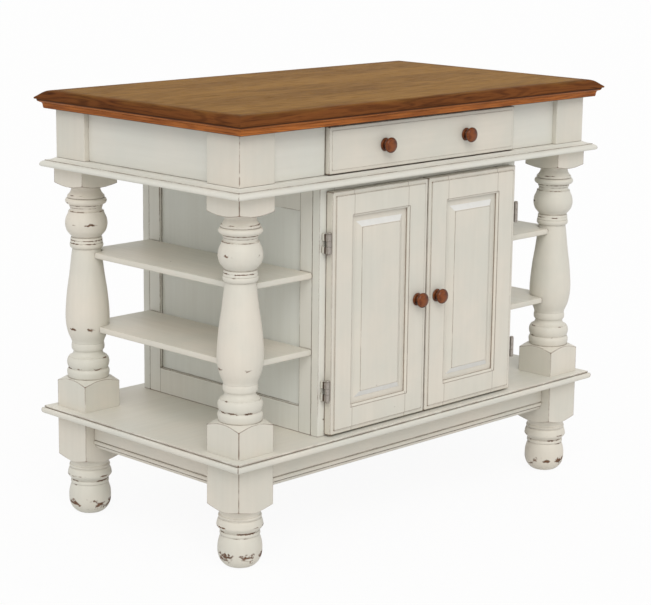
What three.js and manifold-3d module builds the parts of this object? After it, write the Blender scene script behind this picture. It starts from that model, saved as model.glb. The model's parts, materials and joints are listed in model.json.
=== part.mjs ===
// A painted kitchen island with an oak worktop, as a three.js scene.
// Units are millimetres. +Z is up, +X runs along the door side to the right, and the doors face -Y.
// The origin lies on the floor, under the middle of the worktop.
//
// The island stacks up in layers. Four turned feet and four base rails carry the deck. On the deck
// stand a cupboard in the middle and a turned post at each corner. They carry the ledge, a board
// with a moulded edge. The apron stands on the ledge, holds the drawer, and carries the worktop.

import * as THREE from "three";
import { mergeVertices } from "three/addons/utils/BufferGeometryUtils.js";
import Module from "manifold-3d";

const wasm = await Module();
wasm.setup();

// ---------------------------------------------------------------------------------------------
// Driving dimensions
// ---------------------------------------------------------------------------------------------

// Worktop
const TOP_LENGTH = 1120;
const TOP_DEPTH = 635;
const HEIGHT = 914.4;
const EDGE_WIDTH = 30; // width of the moulded border round the flat field
const EDGE_DROP = 14.8; // how far the moulded border falls from the field to the lip
const LIP_THICKNESS = 3.5;
const UNDER_MOULD_HEIGHT = 19;

// Apron: four corner blocks with lower-lying rails between them
const END_OVERHANG = 30; // worktop lip beyond the corner blocks, at the two ends
const FRONT_OVERHANG = 35; // the same, at the front and back
const APRON_HEIGHT = 121.8;
const CORNER_BLOCK = 94;
const RAIL_RECESS = 12;
const RAIL_THICKNESS = 20;
const ARRIS_CHAMFER = 1.5;

// Ledge and deck
const LEDGE_THICKNESS = 20;
const LEDGE_OVERHANG = 25.5;
const DECK_TOP = 236;
const DECK_THICKNESS = 19;
const DECK_OVERHANG = 29.5;

// Posts and feet
const POST_BLOCK = 88; // the square parts of posts and feet
const POST_INSET = 43; // from the corner block's face to the post's axis
const TURNING_SIDES = 16; // facets round the turned stretches
const SHOULDER_SIDES = 24; // facets round the shoulders of the square parts

// Base rails between the feet
const BASE_RAIL_DEPTH = 61.5;
const BASE_RAIL_THICKNESS = 18;
const BASE_RAIL_RECESS = 20; // behind the face of the feet's square part

// Cupboard
const CABINET_WIDTH = 606;
const CABINET_SETBACK = 9.5; // face frame behind the corner blocks' face
const BOARD = 20; // thickness of the face frame, the side frames and the back frame
const FACE_STILE = 40;
const FACE_RAIL = 30;
const SIDE_STILE = 35;
const SIDE_RAIL = 56;
const BACK_STILE = 56;
const PANEL = 6; // thickness of flat panels, and of the tongue of the raised ones
const GROOVE_DEPTH = 9;
const GAP = 0.3; // left between two pieces that meet
const SHELF = 16; // thickness of the inner shelf
const PEG_RADIUS = 3;
const PEG_LENGTH = 8;

// Doors
const DOOR_REVEAL = 18.5; // face frame left showing outside each door
const DOOR_TOP_GAP = 12.3; // below the ledge
const DOOR_BOTTOM_GAP = 4; // above the deck
const DOOR_MEETING_GAP = 3;
const DOOR_THICKNESS = 20;
const DOOR_BACK_GAP = 0.5;
const DOOR_STILE = 61;
const DOOR_RAIL = 55;
const DOOR_BEVEL = 22; // width of the bevel round the raised field
const DOOR_RIM = 9; // width of the stepped rim round the door's face
const DOOR_RIM_DROP = 2.5;

// Butt hinges: one leaf on the face frame, the other on the door's edge
const HINGE_TOP_INSET = 103.5; // from the door's top to the middle of the hinge
const HINGE_BOTTOM_INSET = 93.5;
const BARREL_STANDOFF = 16; // from the face frame to the hinge's pin
const BARREL_REACH = 6.3; // from the door leaf's plate to the hinge's pin
const BARREL_RADIUS = 4.6;
const PIN_RADIUS = 1.6;
const LEAF_THICKNESS = 1.6;
const LEAF_WIDTH = 6; // from the pin to the outer edge of the frame's leaf
const LEAF_HEIGHT = 40;
const KNUCKLE_HEIGHT = 12; // the door leaf's single knuckle, in the middle
const FINIAL_HEIGHT = 4;
const BARREL_SIDES = 10;

// Knobs
const KNOB_RADIUS = 16;
const KNOB_LENGTH = 23.5;
const KNOB_SIDES = 12;
const DOOR_KNOB_INSET = 29.5; // from the door's meeting edge
const DOOR_KNOB_HEIGHT = 249; // above the door's bottom
const DRAWER_KNOB_SPACING = 251;

// Drawer
const DRAWER_FRONT_WIDTH = 572;
const DRAWER_FRONT_TOP_GAP = 6; // below the worktop's under-moulding
const DRAWER_FRONT_BOTTOM_GAP = 2; // above the ledge
const DRAWER_FRONT_THICKNESS = 20;
const DRAWER_OPENING_GAP = 2.5; // between the front and the opening round it
const DRAWER_RIM = 5; // width of the low rim round the front's face
const DRAWER_SIDE = 12; // thickness of the drawer's sides and back
const DRAWER_SIDE_INSET = 4; // from the front's end to the drawer's side
const DRAWER_BOX_DROP = 6; // from the front's top to the sides' top
const DRAWER_BOTTOM = 6;
const DRAWER_BOTTOM_RISE = 8; // from the sides' lower edge to the bottom's groove
const DRAWER_GROOVE = 5;
const DRAWER_BACK_ROOM = 90; // behind the drawer, up to the back rail
const RUNNER_STEP = 10; // height of the shoulder that the drawer slides on
const RUNNER_WIDTH = 30;
const RUNNER_WALL = 10;
const RUNNER_HEIGHT = 60;
const RUNNER_CLEARANCE = 1; // between the runner's wall and the drawer's side

// End shelves
const END_SHELF = 13;
const LOWER_SHELF_SHARE = 0.3504; // of the clear height from the deck to the ledge, to its top
const UPPER_SHELF_SHARE = 0.6564;
const SHELF_INSET = 38; // shelf's outer edge behind the corner blocks' end face
const SHELF_FRONT_INSET = 29.5; // the same, at the front and back
const SHELF_EDGE = 3; // rounding of the shelf's long edges

// ---------------------------------------------------------------------------------------------
// Levels and faces that follow from them
// ---------------------------------------------------------------------------------------------

const topThickness = EDGE_DROP + LIP_THICKNESS;
const topUnderside = HEIGHT - topThickness;
const underMouldBottom = topUnderside - UNDER_MOULD_HEIGHT;
const ledgeTop = topUnderside - APRON_HEIGHT;
const ledgeBottom = ledgeTop - LEDGE_THICKNESS;
const deckBottom = DECK_TOP - DECK_THICKNESS;

const lipX = TOP_LENGTH / 2;
const lipY = TOP_DEPTH / 2;
const blockX = lipX - END_OVERHANG; // end faces of the corner blocks
const blockY = lipY - FRONT_OVERHANG; // front and back faces of the corner blocks
const railX = blockX - RAIL_RECESS;
const railY = blockY - RAIL_RECESS;
const railInnerX = railX - RAIL_THICKNESS;
const railInnerY = railY - RAIL_THICKNESS;
const postX = blockX - POST_INSET;
const postY = blockY - POST_INSET;

const cabinetX = CABINET_WIDTH / 2;
const cabinetY = blockY - CABINET_SETBACK;
const sideY = cabinetY - BOARD; // the side frames stand between the face frame and the back frame

// ---------------------------------------------------------------------------------------------
// Materials
// ---------------------------------------------------------------------------------------------

const paint = new THREE.MeshStandardMaterial({ color: 0xd8d3c6, roughness: 0.55 });
const oak = new THREE.MeshStandardMaterial({ color: 0xa9763a, roughness: 0.35 });
const darkOak = new THREE.MeshStandardMaterial({ color: 0x6b3d20, roughness: 0.35 });
const cherry = new THREE.MeshStandardMaterial({ color: 0x7a3219, roughness: 0.3 });
const bronze = new THREE.MeshStandardMaterial({ color: 0x4b4540, roughness: 0.45, metalness: 0.9 });
const bareWood = new THREE.MeshStandardMaterial({ color: 0xc9a878, roughness: 0.7 });

// ---------------------------------------------------------------------------------------------
// Shape helpers
// ---------------------------------------------------------------------------------------------

// A closed geometry as a solid that can be cut and joined.
function solid(geometry) {
  const bare = geometry.clone();
  bare.deleteAttribute("normal");
  bare.deleteAttribute("uv");
  const merged = mergeVertices(bare, 1e-4);
  return new wasm.Manifold(
    new wasm.Mesh({
      numProp: 3,
      vertProperties: Float32Array.from(merged.attributes.position.array),
      triVerts: Uint32Array.from(merged.index.array),
    }),
  );
}

// A solid back as a geometry with flat-shaded faces.
function geometryOf(body) {
  const mesh = body.getMesh();
  const geometry = new THREE.BufferGeometry();
  geometry.setAttribute("position", new THREE.BufferAttribute(mesh.vertProperties, 3));
  geometry.setIndex(new THREE.BufferAttribute(mesh.triVerts, 1));
  const flat = geometry.toNonIndexed();
  flat.computeVertexNormals();
  return flat;
}

// A box between two corners.
function box(x0, x1, y0, y1, z0, z1) {
  const geometry = new THREE.BoxGeometry(x1 - x0, y1 - y0, z1 - z0);
  return geometry.translate((x0 + x1) / 2, (y0 + y1) / 2, (z0 + z1) / 2);
}

// A profile of [x, z] points, swept along Y.
function alongY(profile, y0, y1) {
  const shape = new THREE.Shape(profile.map(([x, z]) => new THREE.Vector2(x, z)));
  const geometry = new THREE.ExtrudeGeometry(shape, { depth: y1 - y0, bevelEnabled: false });
  return geometry.rotateX(Math.PI / 2).translate(0, y1, 0);
}

// A profile of [y, z] points, swept along X.
function alongX(profile, x0, x1) {
  const shape = new THREE.Shape(profile.map(([y, z]) => new THREE.Vector2(y, z)));
  const geometry = new THREE.ExtrudeGeometry(shape, { depth: x1 - x0, bevelEnabled: false });
  return geometry.rotateX(Math.PI / 2).rotateZ(Math.PI / 2).translate(x0, 0, 0);
}

// A profile of [x, y] points, raised along Z.
function alongZ(profile, z0, z1) {
  const shape = new THREE.Shape(profile.map(([x, y]) => new THREE.Vector2(x, y)));
  return new THREE.ExtrudeGeometry(shape, { depth: z1 - z0, bevelEnabled: false }).translate(0, 0, z0);
}

// The four corners of a rectangle at one level, in order round the Z axis.
function corners([halfX, halfY, z]) {
  return [
    [-halfX, -halfY, z],
    [halfX, -halfY, z],
    [halfX, halfY, z],
    [-halfX, halfY, z],
  ];
}

// Rectangles stacked into a mitred moulding. Each level is [halfX, halfY, z], from the top down. A
// board closes on its first and last level. A ring closes on itself, like a picture frame.
function mitred(levels, isRing) {
  const vertices = levels.flatMap(corners);
  const index = [];
  const count = levels.length;
  const bands = isRing ? count : count - 1;
  for (let i = 0; i < bands; i++) {
    const upper = 4 * i;
    const lower = 4 * ((i + 1) % count);
    for (let side = 0; side < 4; side++) {
      const next = (side + 1) % 4;
      index.push(upper + side, lower + side, lower + next);
      index.push(upper + side, lower + next, upper + next);
    }
  }
  if (!isRing) {
    const last = 4 * (count - 1);
    index.push(0, 1, 2, 0, 2, 3);
    index.push(last, last + 2, last + 1, last, last + 3, last + 2);
  }
  const geometry = new THREE.BufferGeometry();
  geometry.setAttribute("position", new THREE.Float32BufferAttribute(vertices.flat(), 3));
  geometry.setIndex(index);
  return geometry.toNonIndexed();
}

const mouldedBoard = (levels) => mitred(levels, false);
const mouldedRing = (levels) => mitred(levels, true);

// A turned form round the Z axis, from a profile of [radius, z] that starts and ends on the axis.
function turned(profile, sides) {
  const points = profile.map(([radius, z]) => new THREE.Vector2(radius, z));
  return new THREE.LatheGeometry(points, sides).rotateX(Math.PI / 2);
}

// A round bar along the Z axis, with its middle at the origin.
function rod(radius, length, sides) {
  return new THREE.CylinderGeometry(radius, radius, length, sides).rotateX(Math.PI / 2);
}

const island = new THREE.Group();

function add(name, geometry, material, place = [0, 0, 0], turn = [0, 0, 0]) {
  const flat = geometry.index ? geometry.toNonIndexed() : geometry;
  flat.computeVertexNormals();
  const mesh = new THREE.Mesh(flat, material);
  mesh.name = name;
  mesh.position.set(...place);
  mesh.rotation.set(...turn);
  island.add(mesh);
  return mesh;
}

// The four corners of the island, named as someone facing the doors would.
const CORNERS = [
  ["front_left", -1, -1],
  ["front_right", 1, -1],
  ["back_left", -1, 1],
  ["back_right", 1, 1],
];
const ENDS = [
  ["left", -1],
  ["right", 1],
];

// ---------------------------------------------------------------------------------------------
// Worktop: a flat oak field, a moulded border mitred round it, and a moulding under the border
// ---------------------------------------------------------------------------------------------

// A convex round falls from the field, turns hollow and ends in a thin lip.
// Each step is [share of the border's width in from the lip, share of its drop].
const EDGE_STEPS = [
  [1, 0],
  [0.8, 0.05],
  [0.6, 0.2],
  [0.43, 0.44],
  [0.3, 0.63],
  [0.17, 0.78],
  [0.07, 0.91],
  [0, 1],
];

function worktop() {
  const fieldX = lipX - EDGE_WIDTH;
  const fieldY = lipY - EDGE_WIDTH;
  const inside = fieldX - GAP;
  const insideY = fieldY - GAP;
  add("top_board", box(-inside, inside, -insideY, insideY, topUnderside, HEIGHT), oak);

  const border = EDGE_STEPS.map(([width, drop]) => [
    lipX - width * EDGE_WIDTH,
    lipY - width * EDGE_WIDTH,
    HEIGHT - drop * EDGE_DROP,
  ]);
  border.push([lipX, lipY, topUnderside]);
  border.push([fieldX, fieldY, topUnderside]);
  add("top_edge", mouldedRing(border), darkOak);
}

// The under-moulding: a fillet under the lip, a hollow, and a flat band that leans in.
const UNDER_STEPS = [
  [4, 0],
  [4, 1.5],
  [5.5, 4],
  [8.5, 6],
  [11.5, 7.2],
  [12, 8.2],
  [14.3, UNDER_MOULD_HEIGHT],
];

function underMoulding() {
  const top = topUnderside - GAP;
  const levels = UNDER_STEPS.map(([inset, drop]) => [lipX - inset, lipY - inset, top - drop]);
  levels.push([railX + GAP, railY + GAP, top - UNDER_MOULD_HEIGHT]);
  levels.push([railX + GAP, railY + GAP, top]);
  let ring = solid(mouldedRing(levels));
  const half = CORNER_BLOCK / 2 + GAP;
  for (const [, sx, sy] of CORNERS) {
    const x = sx * (blockX - CORNER_BLOCK / 2);
    const y = sy * (blockY - CORNER_BLOCK / 2);
    ring = ring.subtract(solid(box(x - half, x + half, y - half, y + half, ledgeTop, HEIGHT)));
  }
  add("top_under_moulding", geometryOf(ring), darkOak);
}

// ---------------------------------------------------------------------------------------------
// Apron: corner blocks and rails
// ---------------------------------------------------------------------------------------------

// A square section with its arrises taken off.
function chamferedSquare(side, chamfer) {
  const outer = side / 2;
  const inner = outer - chamfer;
  return [
    [-inner, -outer],
    [inner, -outer],
    [outer, -inner],
    [outer, inner],
    [inner, outer],
    [-inner, outer],
    [-outer, inner],
    [-outer, -inner],
  ];
}

const apronBottom = ledgeTop + GAP;
const apronTop = topUnderside - GAP;

function apronBlocks() {
  for (const [name, sx, sy] of CORNERS) {
    const section = chamferedSquare(CORNER_BLOCK, ARRIS_CHAMFER);
    const place = [sx * (blockX - CORNER_BLOCK / 2), sy * (blockY - CORNER_BLOCK / 2), 0];
    add("apron_block_" + name, alongZ(section, apronBottom, apronTop), paint, place);
  }
}

const drawerFrontBottom = ledgeTop + DRAWER_FRONT_BOTTOM_GAP;
const drawerFrontTop = underMouldBottom - DRAWER_FRONT_TOP_GAP;
const drawerFrontX = DRAWER_FRONT_WIDTH / 2;

function apronRails() {
  const endX = blockX - CORNER_BLOCK - GAP;
  const endY = blockY - CORNER_BLOCK - GAP;
  for (const [name, sx] of ENDS) {
    const x = [sx * railInnerX, sx * railX].sort((a, b) => a - b);
    add("apron_rail_" + name, box(...x, -endY, endY, apronBottom, apronTop), paint);
  }
  add("apron_rail_back", box(-endX, endX, railInnerY, railY, apronBottom, apronTop), paint);

  // The front rail is one board with the drawer's opening cut up into it from below.
  const openingX = drawerFrontX + DRAWER_OPENING_GAP;
  const openingTop = drawerFrontTop + DRAWER_OPENING_GAP;
  const outline = [
    [-endX, apronBottom],
    [-openingX, apronBottom],
    [-openingX, openingTop],
    [openingX, openingTop],
    [openingX, apronBottom],
    [endX, apronBottom],
    [endX, apronTop],
    [-endX, apronTop],
  ];
  add("apron_rail_front", alongY(outline, -railY, -railInnerY), paint);
}

// ---------------------------------------------------------------------------------------------
// Ledge and deck: boards with a moulded edge, mitred at the corners
// ---------------------------------------------------------------------------------------------

// Each step is [distance in from the outermost line, share of the board's thickness].
const LEDGE_STEPS = [
  [24.5, 0],
  [20.5, 0.12],
  [15.5, 0.2],
  [8, 0.28],
  [7.5, 0.35],
  [4.5, 0.39],
  [1.5, 0.52],
  [0, 0.69],
  [0.5, 0.87],
  [3, 0.97],
  [5.5, 1],
];

const DECK_STEPS = [
  [7.5, 0],
  [5.2, 0.05],
  [4.2, 0.19],
  [1.8, 0.22],
  [0, 0.46],
  [0.4, 0.72],
  [2.5, 0.88],
  [6.5, 0.97],
  [9.5, 1],
];

function edgedBoard(steps, overhang, top, thickness) {
  const outX = blockX + overhang;
  const outY = blockY + overhang;
  return mouldedBoard(
    steps.map(([inset, share]) => [outX - inset, outY - inset, top - share * thickness]),
  );
}

function ledgeAndDeck() {
  add("ledge", edgedBoard(LEDGE_STEPS, LEDGE_OVERHANG, ledgeTop, LEDGE_THICKNESS), paint);
  add("deck", edgedBoard(DECK_STEPS, DECK_OVERHANG, DECK_TOP, DECK_THICKNESS), paint);
}

// ---------------------------------------------------------------------------------------------
// Turned posts
// ---------------------------------------------------------------------------------------------

const ARRIS_REACH = (POST_BLOCK / 2) * Math.SQRT2 + 0.5; // just past the arris of a square part

// The upper turnings hang from the ledge: [radius, distance below the ledge].
const POST_UPPER = [
  [31.5, 41.5],
  [31, 47],
  [36, 56],
  [39, 58],
  [39.4, 63],
  [42.8, 65.5],
  [43.8, 70],
  [42, 75.5],
  [36.5, 78.5],
  [33.8, 81.5],
  [33.6, 90],
  [37.6, 92.3],
  [42.6, 105.5],
  [44.6, 116.5],
  [44.1, 125],
  [41, 134.5],
  [35, 142.5],
  [31.2, 147],
  [34, 153],
  [33.6, 157],
  [35.5, 164],
  [34, 170],
  [30.3, 172],
];

// The vase swells between the upper and the lower turnings: [radius, share of its height].
const POST_VASE = [
  [32.9, 0.09],
  [37.2, 0.265],
  [42.4, 0.435],
  [45.2, 0.57],
  [46.8, 0.7],
  [46.3, 0.78],
  [43.6, 0.86],
  [38.6, 0.935],
  [35.2, 0.972],
];

// The lower turnings rise from the deck: [radius, height above the deck].
const POST_LOWER = [
  [34, 141.5],
  [35.2, 134],
  [34.4, 127],
  [31.4, 123.5],
  [33.5, 116.5],
  [42.2, 110],
  [44.8, 105],
  [45, 99],
  [43.8, 91.5],
  [41.6, 87],
  [44.2, 83],
  [45.3, 78],
  [44.6, 72],
  [43, 66.5],
];

// The shoulders of the square parts, cut by the same lathe.
const POST_TOP_SHOULDER = [
  [ARRIS_REACH, 32.8],
  [56, 36],
  [48, 38.6],
  [40, 40.2],
  [31.5, 41.5],
];
const POST_BASE_SHOULDER = [
  [43, 66.5],
  [45, 65.8],
  [51, 63.2],
  [57, 60.2],
  [ARRIS_REACH, 56.3],
];
const TENON = 5; // how far the turned core runs on into each square part

const belowLedge = ([radius, drop]) => [radius, ledgeBottom - drop];
const aboveDeck = ([radius, rise]) => [radius, DECK_TOP + rise];

// The turned stretch between the square parts, from the bottom up.
function postTurnings() {
  const upper = POST_UPPER.map(belowLedge);
  const lower = POST_LOWER.map(aboveDeck);
  const vaseTop = upper.at(-1)[1];
  const vaseHeight = vaseTop - lower[0][1];
  const vase = POST_VASE.map(([radius, share]) => [radius, vaseTop - vaseHeight * share]);
  return [...upper, ...vase, ...lower].reverse();
}

function post() {
  const half = POST_BLOCK / 2;
  const bottom = DECK_TOP + GAP;
  const top = ledgeBottom - GAP;
  const turnings = postTurnings();
  const [neckRadius, neckTop] = turnings.at(-1);
  const [footRadius, neckBottom] = turnings[0];
  const core = turned(
    [
      [0, neckBottom - TENON],
      [footRadius, neckBottom - TENON],
      ...turnings,
      [neckRadius, neckTop + TENON],
      [0, neckTop + TENON],
    ],
    TURNING_SIDES,
  );
  const baseShoulder = POST_BASE_SHOULDER.map(aboveDeck).reverse();
  const baseCut = [[0, bottom], [ARRIS_REACH, bottom], ...baseShoulder, [0, neckBottom]];
  const topShoulder = POST_TOP_SHOULDER.map(belowLedge).reverse();
  const topCut = [[0, neckTop], ...topShoulder, [ARRIS_REACH, top], [0, top]];

  const blank = solid(box(-half, half, -half, half, bottom, top));
  const baseBlock = blank.intersect(solid(turned(baseCut, SHOULDER_SIDES)));
  const topBlock = blank.intersect(solid(turned(topCut, SHOULDER_SIDES)));
  return geometryOf(solid(core).add(baseBlock).add(topBlock));
}

function posts() {
  const form = post();
  for (const [name, sx, sy] of CORNERS) {
    add("post_" + name, form.clone(), paint, [sx * postX, sy * postY, 0]);
  }
}

// The widest that a post's turned stretch gets between two levels.
function postReach(low, high) {
  const turnings = postTurnings();
  const radiusAt = (level) => {
    const above = turnings.findIndex(([, z]) => z >= level);
    const [r0, z0] = turnings[above - 1];
    const [r1, z1] = turnings[above];
    return r0 + ((r1 - r0) * (level - z0)) / (z1 - z0);
  };
  const between = turnings.filter(([, z]) => z > low && z < high).map(([radius]) => radius);
  return Math.max(radiusAt(low), radiusAt(high), ...between);
}

// ---------------------------------------------------------------------------------------------
// Feet and base rails
// ---------------------------------------------------------------------------------------------

// A bun foot under a square part: [radius, height above the floor].
const FOOT = [
  [0, 0],
  [20, 0],
  [27, 2],
  [34.5, 7],
  [40.8, 15.5],
  [44.4, 26],
  [45.3, 38],
  [44.3, 50],
  [41.6, 60],
  [39.4, 66],
  [40.6, 69],
  [40.4, 73],
  [38.8, 76],
  [45, 82.5],
  [47.4, 89],
  [46, 95.5],
  [42.6, 102],
  [40.8, 108],
];
const FOOT_NECK = 112;
const FOOT_SHOULDER = [
  [40.8, FOOT_NECK],
  [43.5, 117.5],
  [52, 123],
  [ARRIS_REACH, 129],
];

function foot() {
  const half = POST_BLOCK / 2;
  const top = deckBottom - GAP;
  const [neckRadius] = FOOT.at(-1);
  const bun = [...FOOT, [neckRadius, FOOT_NECK + TENON], [0, FOOT_NECK + TENON]];
  const cut = [[0, FOOT_NECK], ...FOOT_SHOULDER, [ARRIS_REACH, top], [0, top]];
  const blank = solid(box(-half, half, -half, half, 0, top));
  const block = blank.intersect(solid(turned(cut, SHOULDER_SIDES)));
  return geometryOf(solid(turned(bun, TURNING_SIDES)).add(block));
}

// Outline of a base rail: [distance behind its face, drop below the deck].
const BASE_RAIL_OUTLINE = [
  [0, 0],
  [0, 42.5],
  [1.5, 43.2],
  [1.5, 44.2],
  [-0.5, 45],
  [-1.8, 47.5],
  [-1.8, 50.5],
  [-0.5, 52.4],
  [3.3, 53],
  [3.3, 54.2],
  [2.4, 54.6],
  [4.8, 59],
  [6, BASE_RAIL_DEPTH],
  [BASE_RAIL_THICKNESS, BASE_RAIL_DEPTH],
  [BASE_RAIL_THICKNESS, 0],
];

function feetAndBaseRails() {
  const form = foot();
  for (const [name, sx, sy] of CORNERS) {
    add("foot_" + name, form.clone(), paint, [sx * postX, sy * postY, 0]);
  }
  // The rails of the right end and of the back, turned half round for the left end and the front.
  const half = POST_BLOCK / 2;
  const faceX = postX + half - BASE_RAIL_RECESS;
  const faceY = postY + half - BASE_RAIL_RECESS;
  const endX = postX - half - GAP;
  const endY = postY - half - GAP;
  const top = deckBottom - GAP;
  const endOutline = BASE_RAIL_OUTLINE.map(([depth, drop]) => [faceX - depth, top - drop]);
  const longOutline = BASE_RAIL_OUTLINE.map(([depth, drop]) => [faceY - depth, top - drop]);
  const rails = [
    ["right", "left", alongY(endOutline, -endY, endY)],
    ["back", "front", alongX(longOutline, -endX, endX)],
  ];
  for (const [name, opposite, geometry] of rails) {
    add("base_rail_" + name, geometry, paint);
    add("base_rail_" + opposite, geometry.clone(), paint, [0, 0, 0], [0, 0, Math.PI]);
  }
}

// ---------------------------------------------------------------------------------------------
// Cupboard: framed sides and back, a face frame, and one shelf inside
// ---------------------------------------------------------------------------------------------

const bayMiddle = (ledgeBottom + DECK_TOP) / 2;
const bayHalf = (ledgeBottom - DECK_TOP) / 2 - GAP;
const shelfTop = bayMiddle;
const shelfBottom = shelfTop - SHELF;

// Frames and panels are drawn lying on their back, with their face up, and stood up when placed.
const FACING_FRONT = [Math.PI / 2, 0, 0];
const FACING_BACK = [Math.PI / 2, Math.PI, 0];

// The inside of a frame, from its back to its face, with a groove half way for the panel.
function groovedInside(innerX, innerY, thickness) {
  const low = (thickness - PANEL) / 2 - GAP;
  const high = (thickness + PANEL) / 2 + GAP;
  return [
    [innerX, innerY, 0],
    [innerX, innerY, low],
    [innerX + GROOVE_DEPTH, innerY + GROOVE_DEPTH, low],
    [innerX + GROOVE_DEPTH, innerY + GROOVE_DEPTH, high],
    [innerX, innerY, high],
  ];
}

function groovedFrame(halfX, halfY, stile, rail) {
  const innerX = halfX - stile;
  const innerY = halfY - rail;
  return mouldedRing([
    [halfX, halfY, BOARD],
    [halfX, halfY, 0],
    ...groovedInside(innerX, innerY, BOARD),
    [innerX, innerY, BOARD],
  ]);
}

// A flat panel that fills a grooved frame, as deep in its grooves as they allow.
function flatPanel(halfX, halfY, stile, rail) {
  const reachX = halfX - stile + GROOVE_DEPTH - GAP;
  const reachY = halfY - rail + GROOVE_DEPTH - GAP;
  const low = (BOARD - PANEL) / 2;
  return box(-reachX, reachX, -reachY, reachY, low, low + PANEL);
}

// The side frames stand between the face frame and the back frame, and carry the shelf on pegs.
function cabinetSides() {
  const halfY = sideY - GAP;
  const innerFace = cabinetX - BOARD;
  for (const [name, sx] of ENDS) {
    let frame = solid(groovedFrame(halfY, bayHalf, SIDE_STILE, SIDE_RAIL));
    for (const end of [-1, 1]) {
      const level = shelfBottom - PEG_RADIUS - GAP - bayMiddle;
      const peg = rod(PEG_RADIUS, PEG_LENGTH + 2, 10);
      peg.translate(end * (halfY - SIDE_STILE / 2), level, 1 - PEG_LENGTH / 2);
      frame = frame.add(solid(peg));
    }
    const place = [sx * innerFace, 0, bayMiddle];
    const facing = [Math.PI / 2, (sx * Math.PI) / 2, 0];
    add("cabinet_side_frame_" + name, geometryOf(frame), paint, place, facing);
    const panel = flatPanel(halfY, bayHalf, SIDE_STILE, SIDE_RAIL);
    add("cabinet_side_panel_" + name, panel, paint, place, facing);
  }
}

function cabinetBack() {
  const place = [0, sideY, bayMiddle];
  const frame = groovedFrame(cabinetX, bayHalf, BACK_STILE, SIDE_RAIL);
  add("cabinet_back_frame", frame, paint, place, FACING_BACK);
  const panel = flatPanel(cabinetX, bayHalf, BACK_STILE, SIDE_RAIL);
  add("cabinet_back_panel", panel, paint, place, FACING_BACK);
}

function faceFrame() {
  const innerX = cabinetX - FACE_STILE;
  const innerZ = bayHalf - FACE_RAIL;
  const frame = mouldedRing([
    [cabinetX, bayHalf, BOARD],
    [cabinetX, bayHalf, 0],
    [innerX, innerZ, 0],
    [innerX, innerZ, BOARD],
  ]);
  add("face_frame", frame, paint, [0, -sideY, bayMiddle], FACING_FRONT);
}

function innerShelf() {
  const x = cabinetX - BOARD - GAP;
  const y = sideY - GAP;
  add("cabinet_shelf", box(-x, x, -y, y, shelfBottom, shelfTop), bareWood);
}

// ---------------------------------------------------------------------------------------------
// Doors: a grooved frame with a stepped rim, and a raised panel in it
// ---------------------------------------------------------------------------------------------

const doorOuterX = cabinetX - DOOR_REVEAL;
const doorHalfX = (doorOuterX - DOOR_MEETING_GAP / 2) / 2;
const doorMiddleX = doorOuterX - doorHalfX;
const doorTop = ledgeBottom - DOOR_TOP_GAP;
const doorBottom = DECK_TOP + DOOR_BOTTOM_GAP;
const doorMiddle = (doorTop + doorBottom) / 2;
const doorHalfZ = (doorTop - doorBottom) / 2;
const doorBackY = -cabinetY - DOOR_BACK_GAP;
const doorFaceY = doorBackY - DOOR_THICKNESS;
const DOOR_CHAMFER = 5.5; // taken off the frame's inner arris, round the panel

function doorFrame() {
  const innerX = doorHalfX - DOOR_STILE;
  const innerY = doorHalfZ - DOOR_RAIL;
  const fieldX = doorHalfX - DOOR_RIM;
  const fieldY = doorHalfZ - DOOR_RIM;
  const rim = DOOR_THICKNESS - DOOR_RIM_DROP;
  return mouldedRing([
    [fieldX, fieldY, DOOR_THICKNESS],
    [fieldX + 0.8, fieldY + 0.8, rim],
    [doorHalfX - 1.5, doorHalfZ - 1.5, rim],
    [doorHalfX, doorHalfZ, rim - 1.5],
    [doorHalfX, doorHalfZ, 0],
    ...groovedInside(innerX, innerY, DOOR_THICKNESS),
    [innerX, innerY, DOOR_THICKNESS - DOOR_CHAMFER],
    [innerX + DOOR_CHAMFER, innerY + DOOR_CHAMFER, DOOR_THICKNESS],
  ]);
}

// A raised field, a step down, a bevel that falls away, and a tongue for the groove.
function doorPanel() {
  const innerX = doorHalfX - DOOR_STILE;
  const innerY = doorHalfZ - DOOR_RAIL;
  const fieldX = innerX - DOOR_BEVEL;
  const fieldY = innerY - DOOR_BEVEL;
  const reachX = innerX + GROOVE_DEPTH - GAP;
  const reachY = innerY + GROOVE_DEPTH - GAP;
  const tongueTop = (DOOR_THICKNESS + PANEL) / 2;
  const tongueBottom = (DOOR_THICKNESS - PANEL) / 2;
  const field = DOOR_THICKNESS - 1;
  return mouldedBoard([
    [fieldX, fieldY, field],
    [fieldX + 0.4, fieldY + 0.4, field - 1.8],
    [innerX - 4, innerY - 4, tongueTop],
    [reachX, reachY, tongueTop],
    [reachX, reachY, tongueBottom],
  ]);
}

// A turned knob: a flange, a waist and a domed head. [radius, distance from the face it sits on]
const KNOB = [
  [0, 0],
  [13.5, 0],
  [13.5, 1.6],
  [11.5, 3.2],
  [7.4, 5.2],
  [6.8, 8],
  [8.6, 10.4],
  [14.2, 12.4],
  [KNOB_RADIUS, 15.6],
  [15.2, 18.6],
  [11.5, 21.6],
  [6, 23.1],
  [0, KNOB_LENGTH],
];

function knob(name, x, faceY, z) {
  add(name, turned(KNOB, KNOB_SIDES), cherry, [x, faceY - GAP, z], FACING_FRONT);
}

function doors() {
  for (const [name, sx] of ENDS) {
    const place = [sx * doorMiddleX, doorBackY, doorMiddle];
    add("door_frame_" + name, doorFrame(), paint, place, FACING_FRONT);
    add("door_panel_" + name, doorPanel(), paint, place, FACING_FRONT);
    const knobX = sx * (DOOR_MEETING_GAP / 2 + DOOR_KNOB_INSET);
    knob("door_knob_" + name, knobX, doorFaceY, doorBottom + DOOR_KNOB_HEIGHT);
  }
}

// ---------------------------------------------------------------------------------------------
// Butt hinges
// ---------------------------------------------------------------------------------------------

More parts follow.
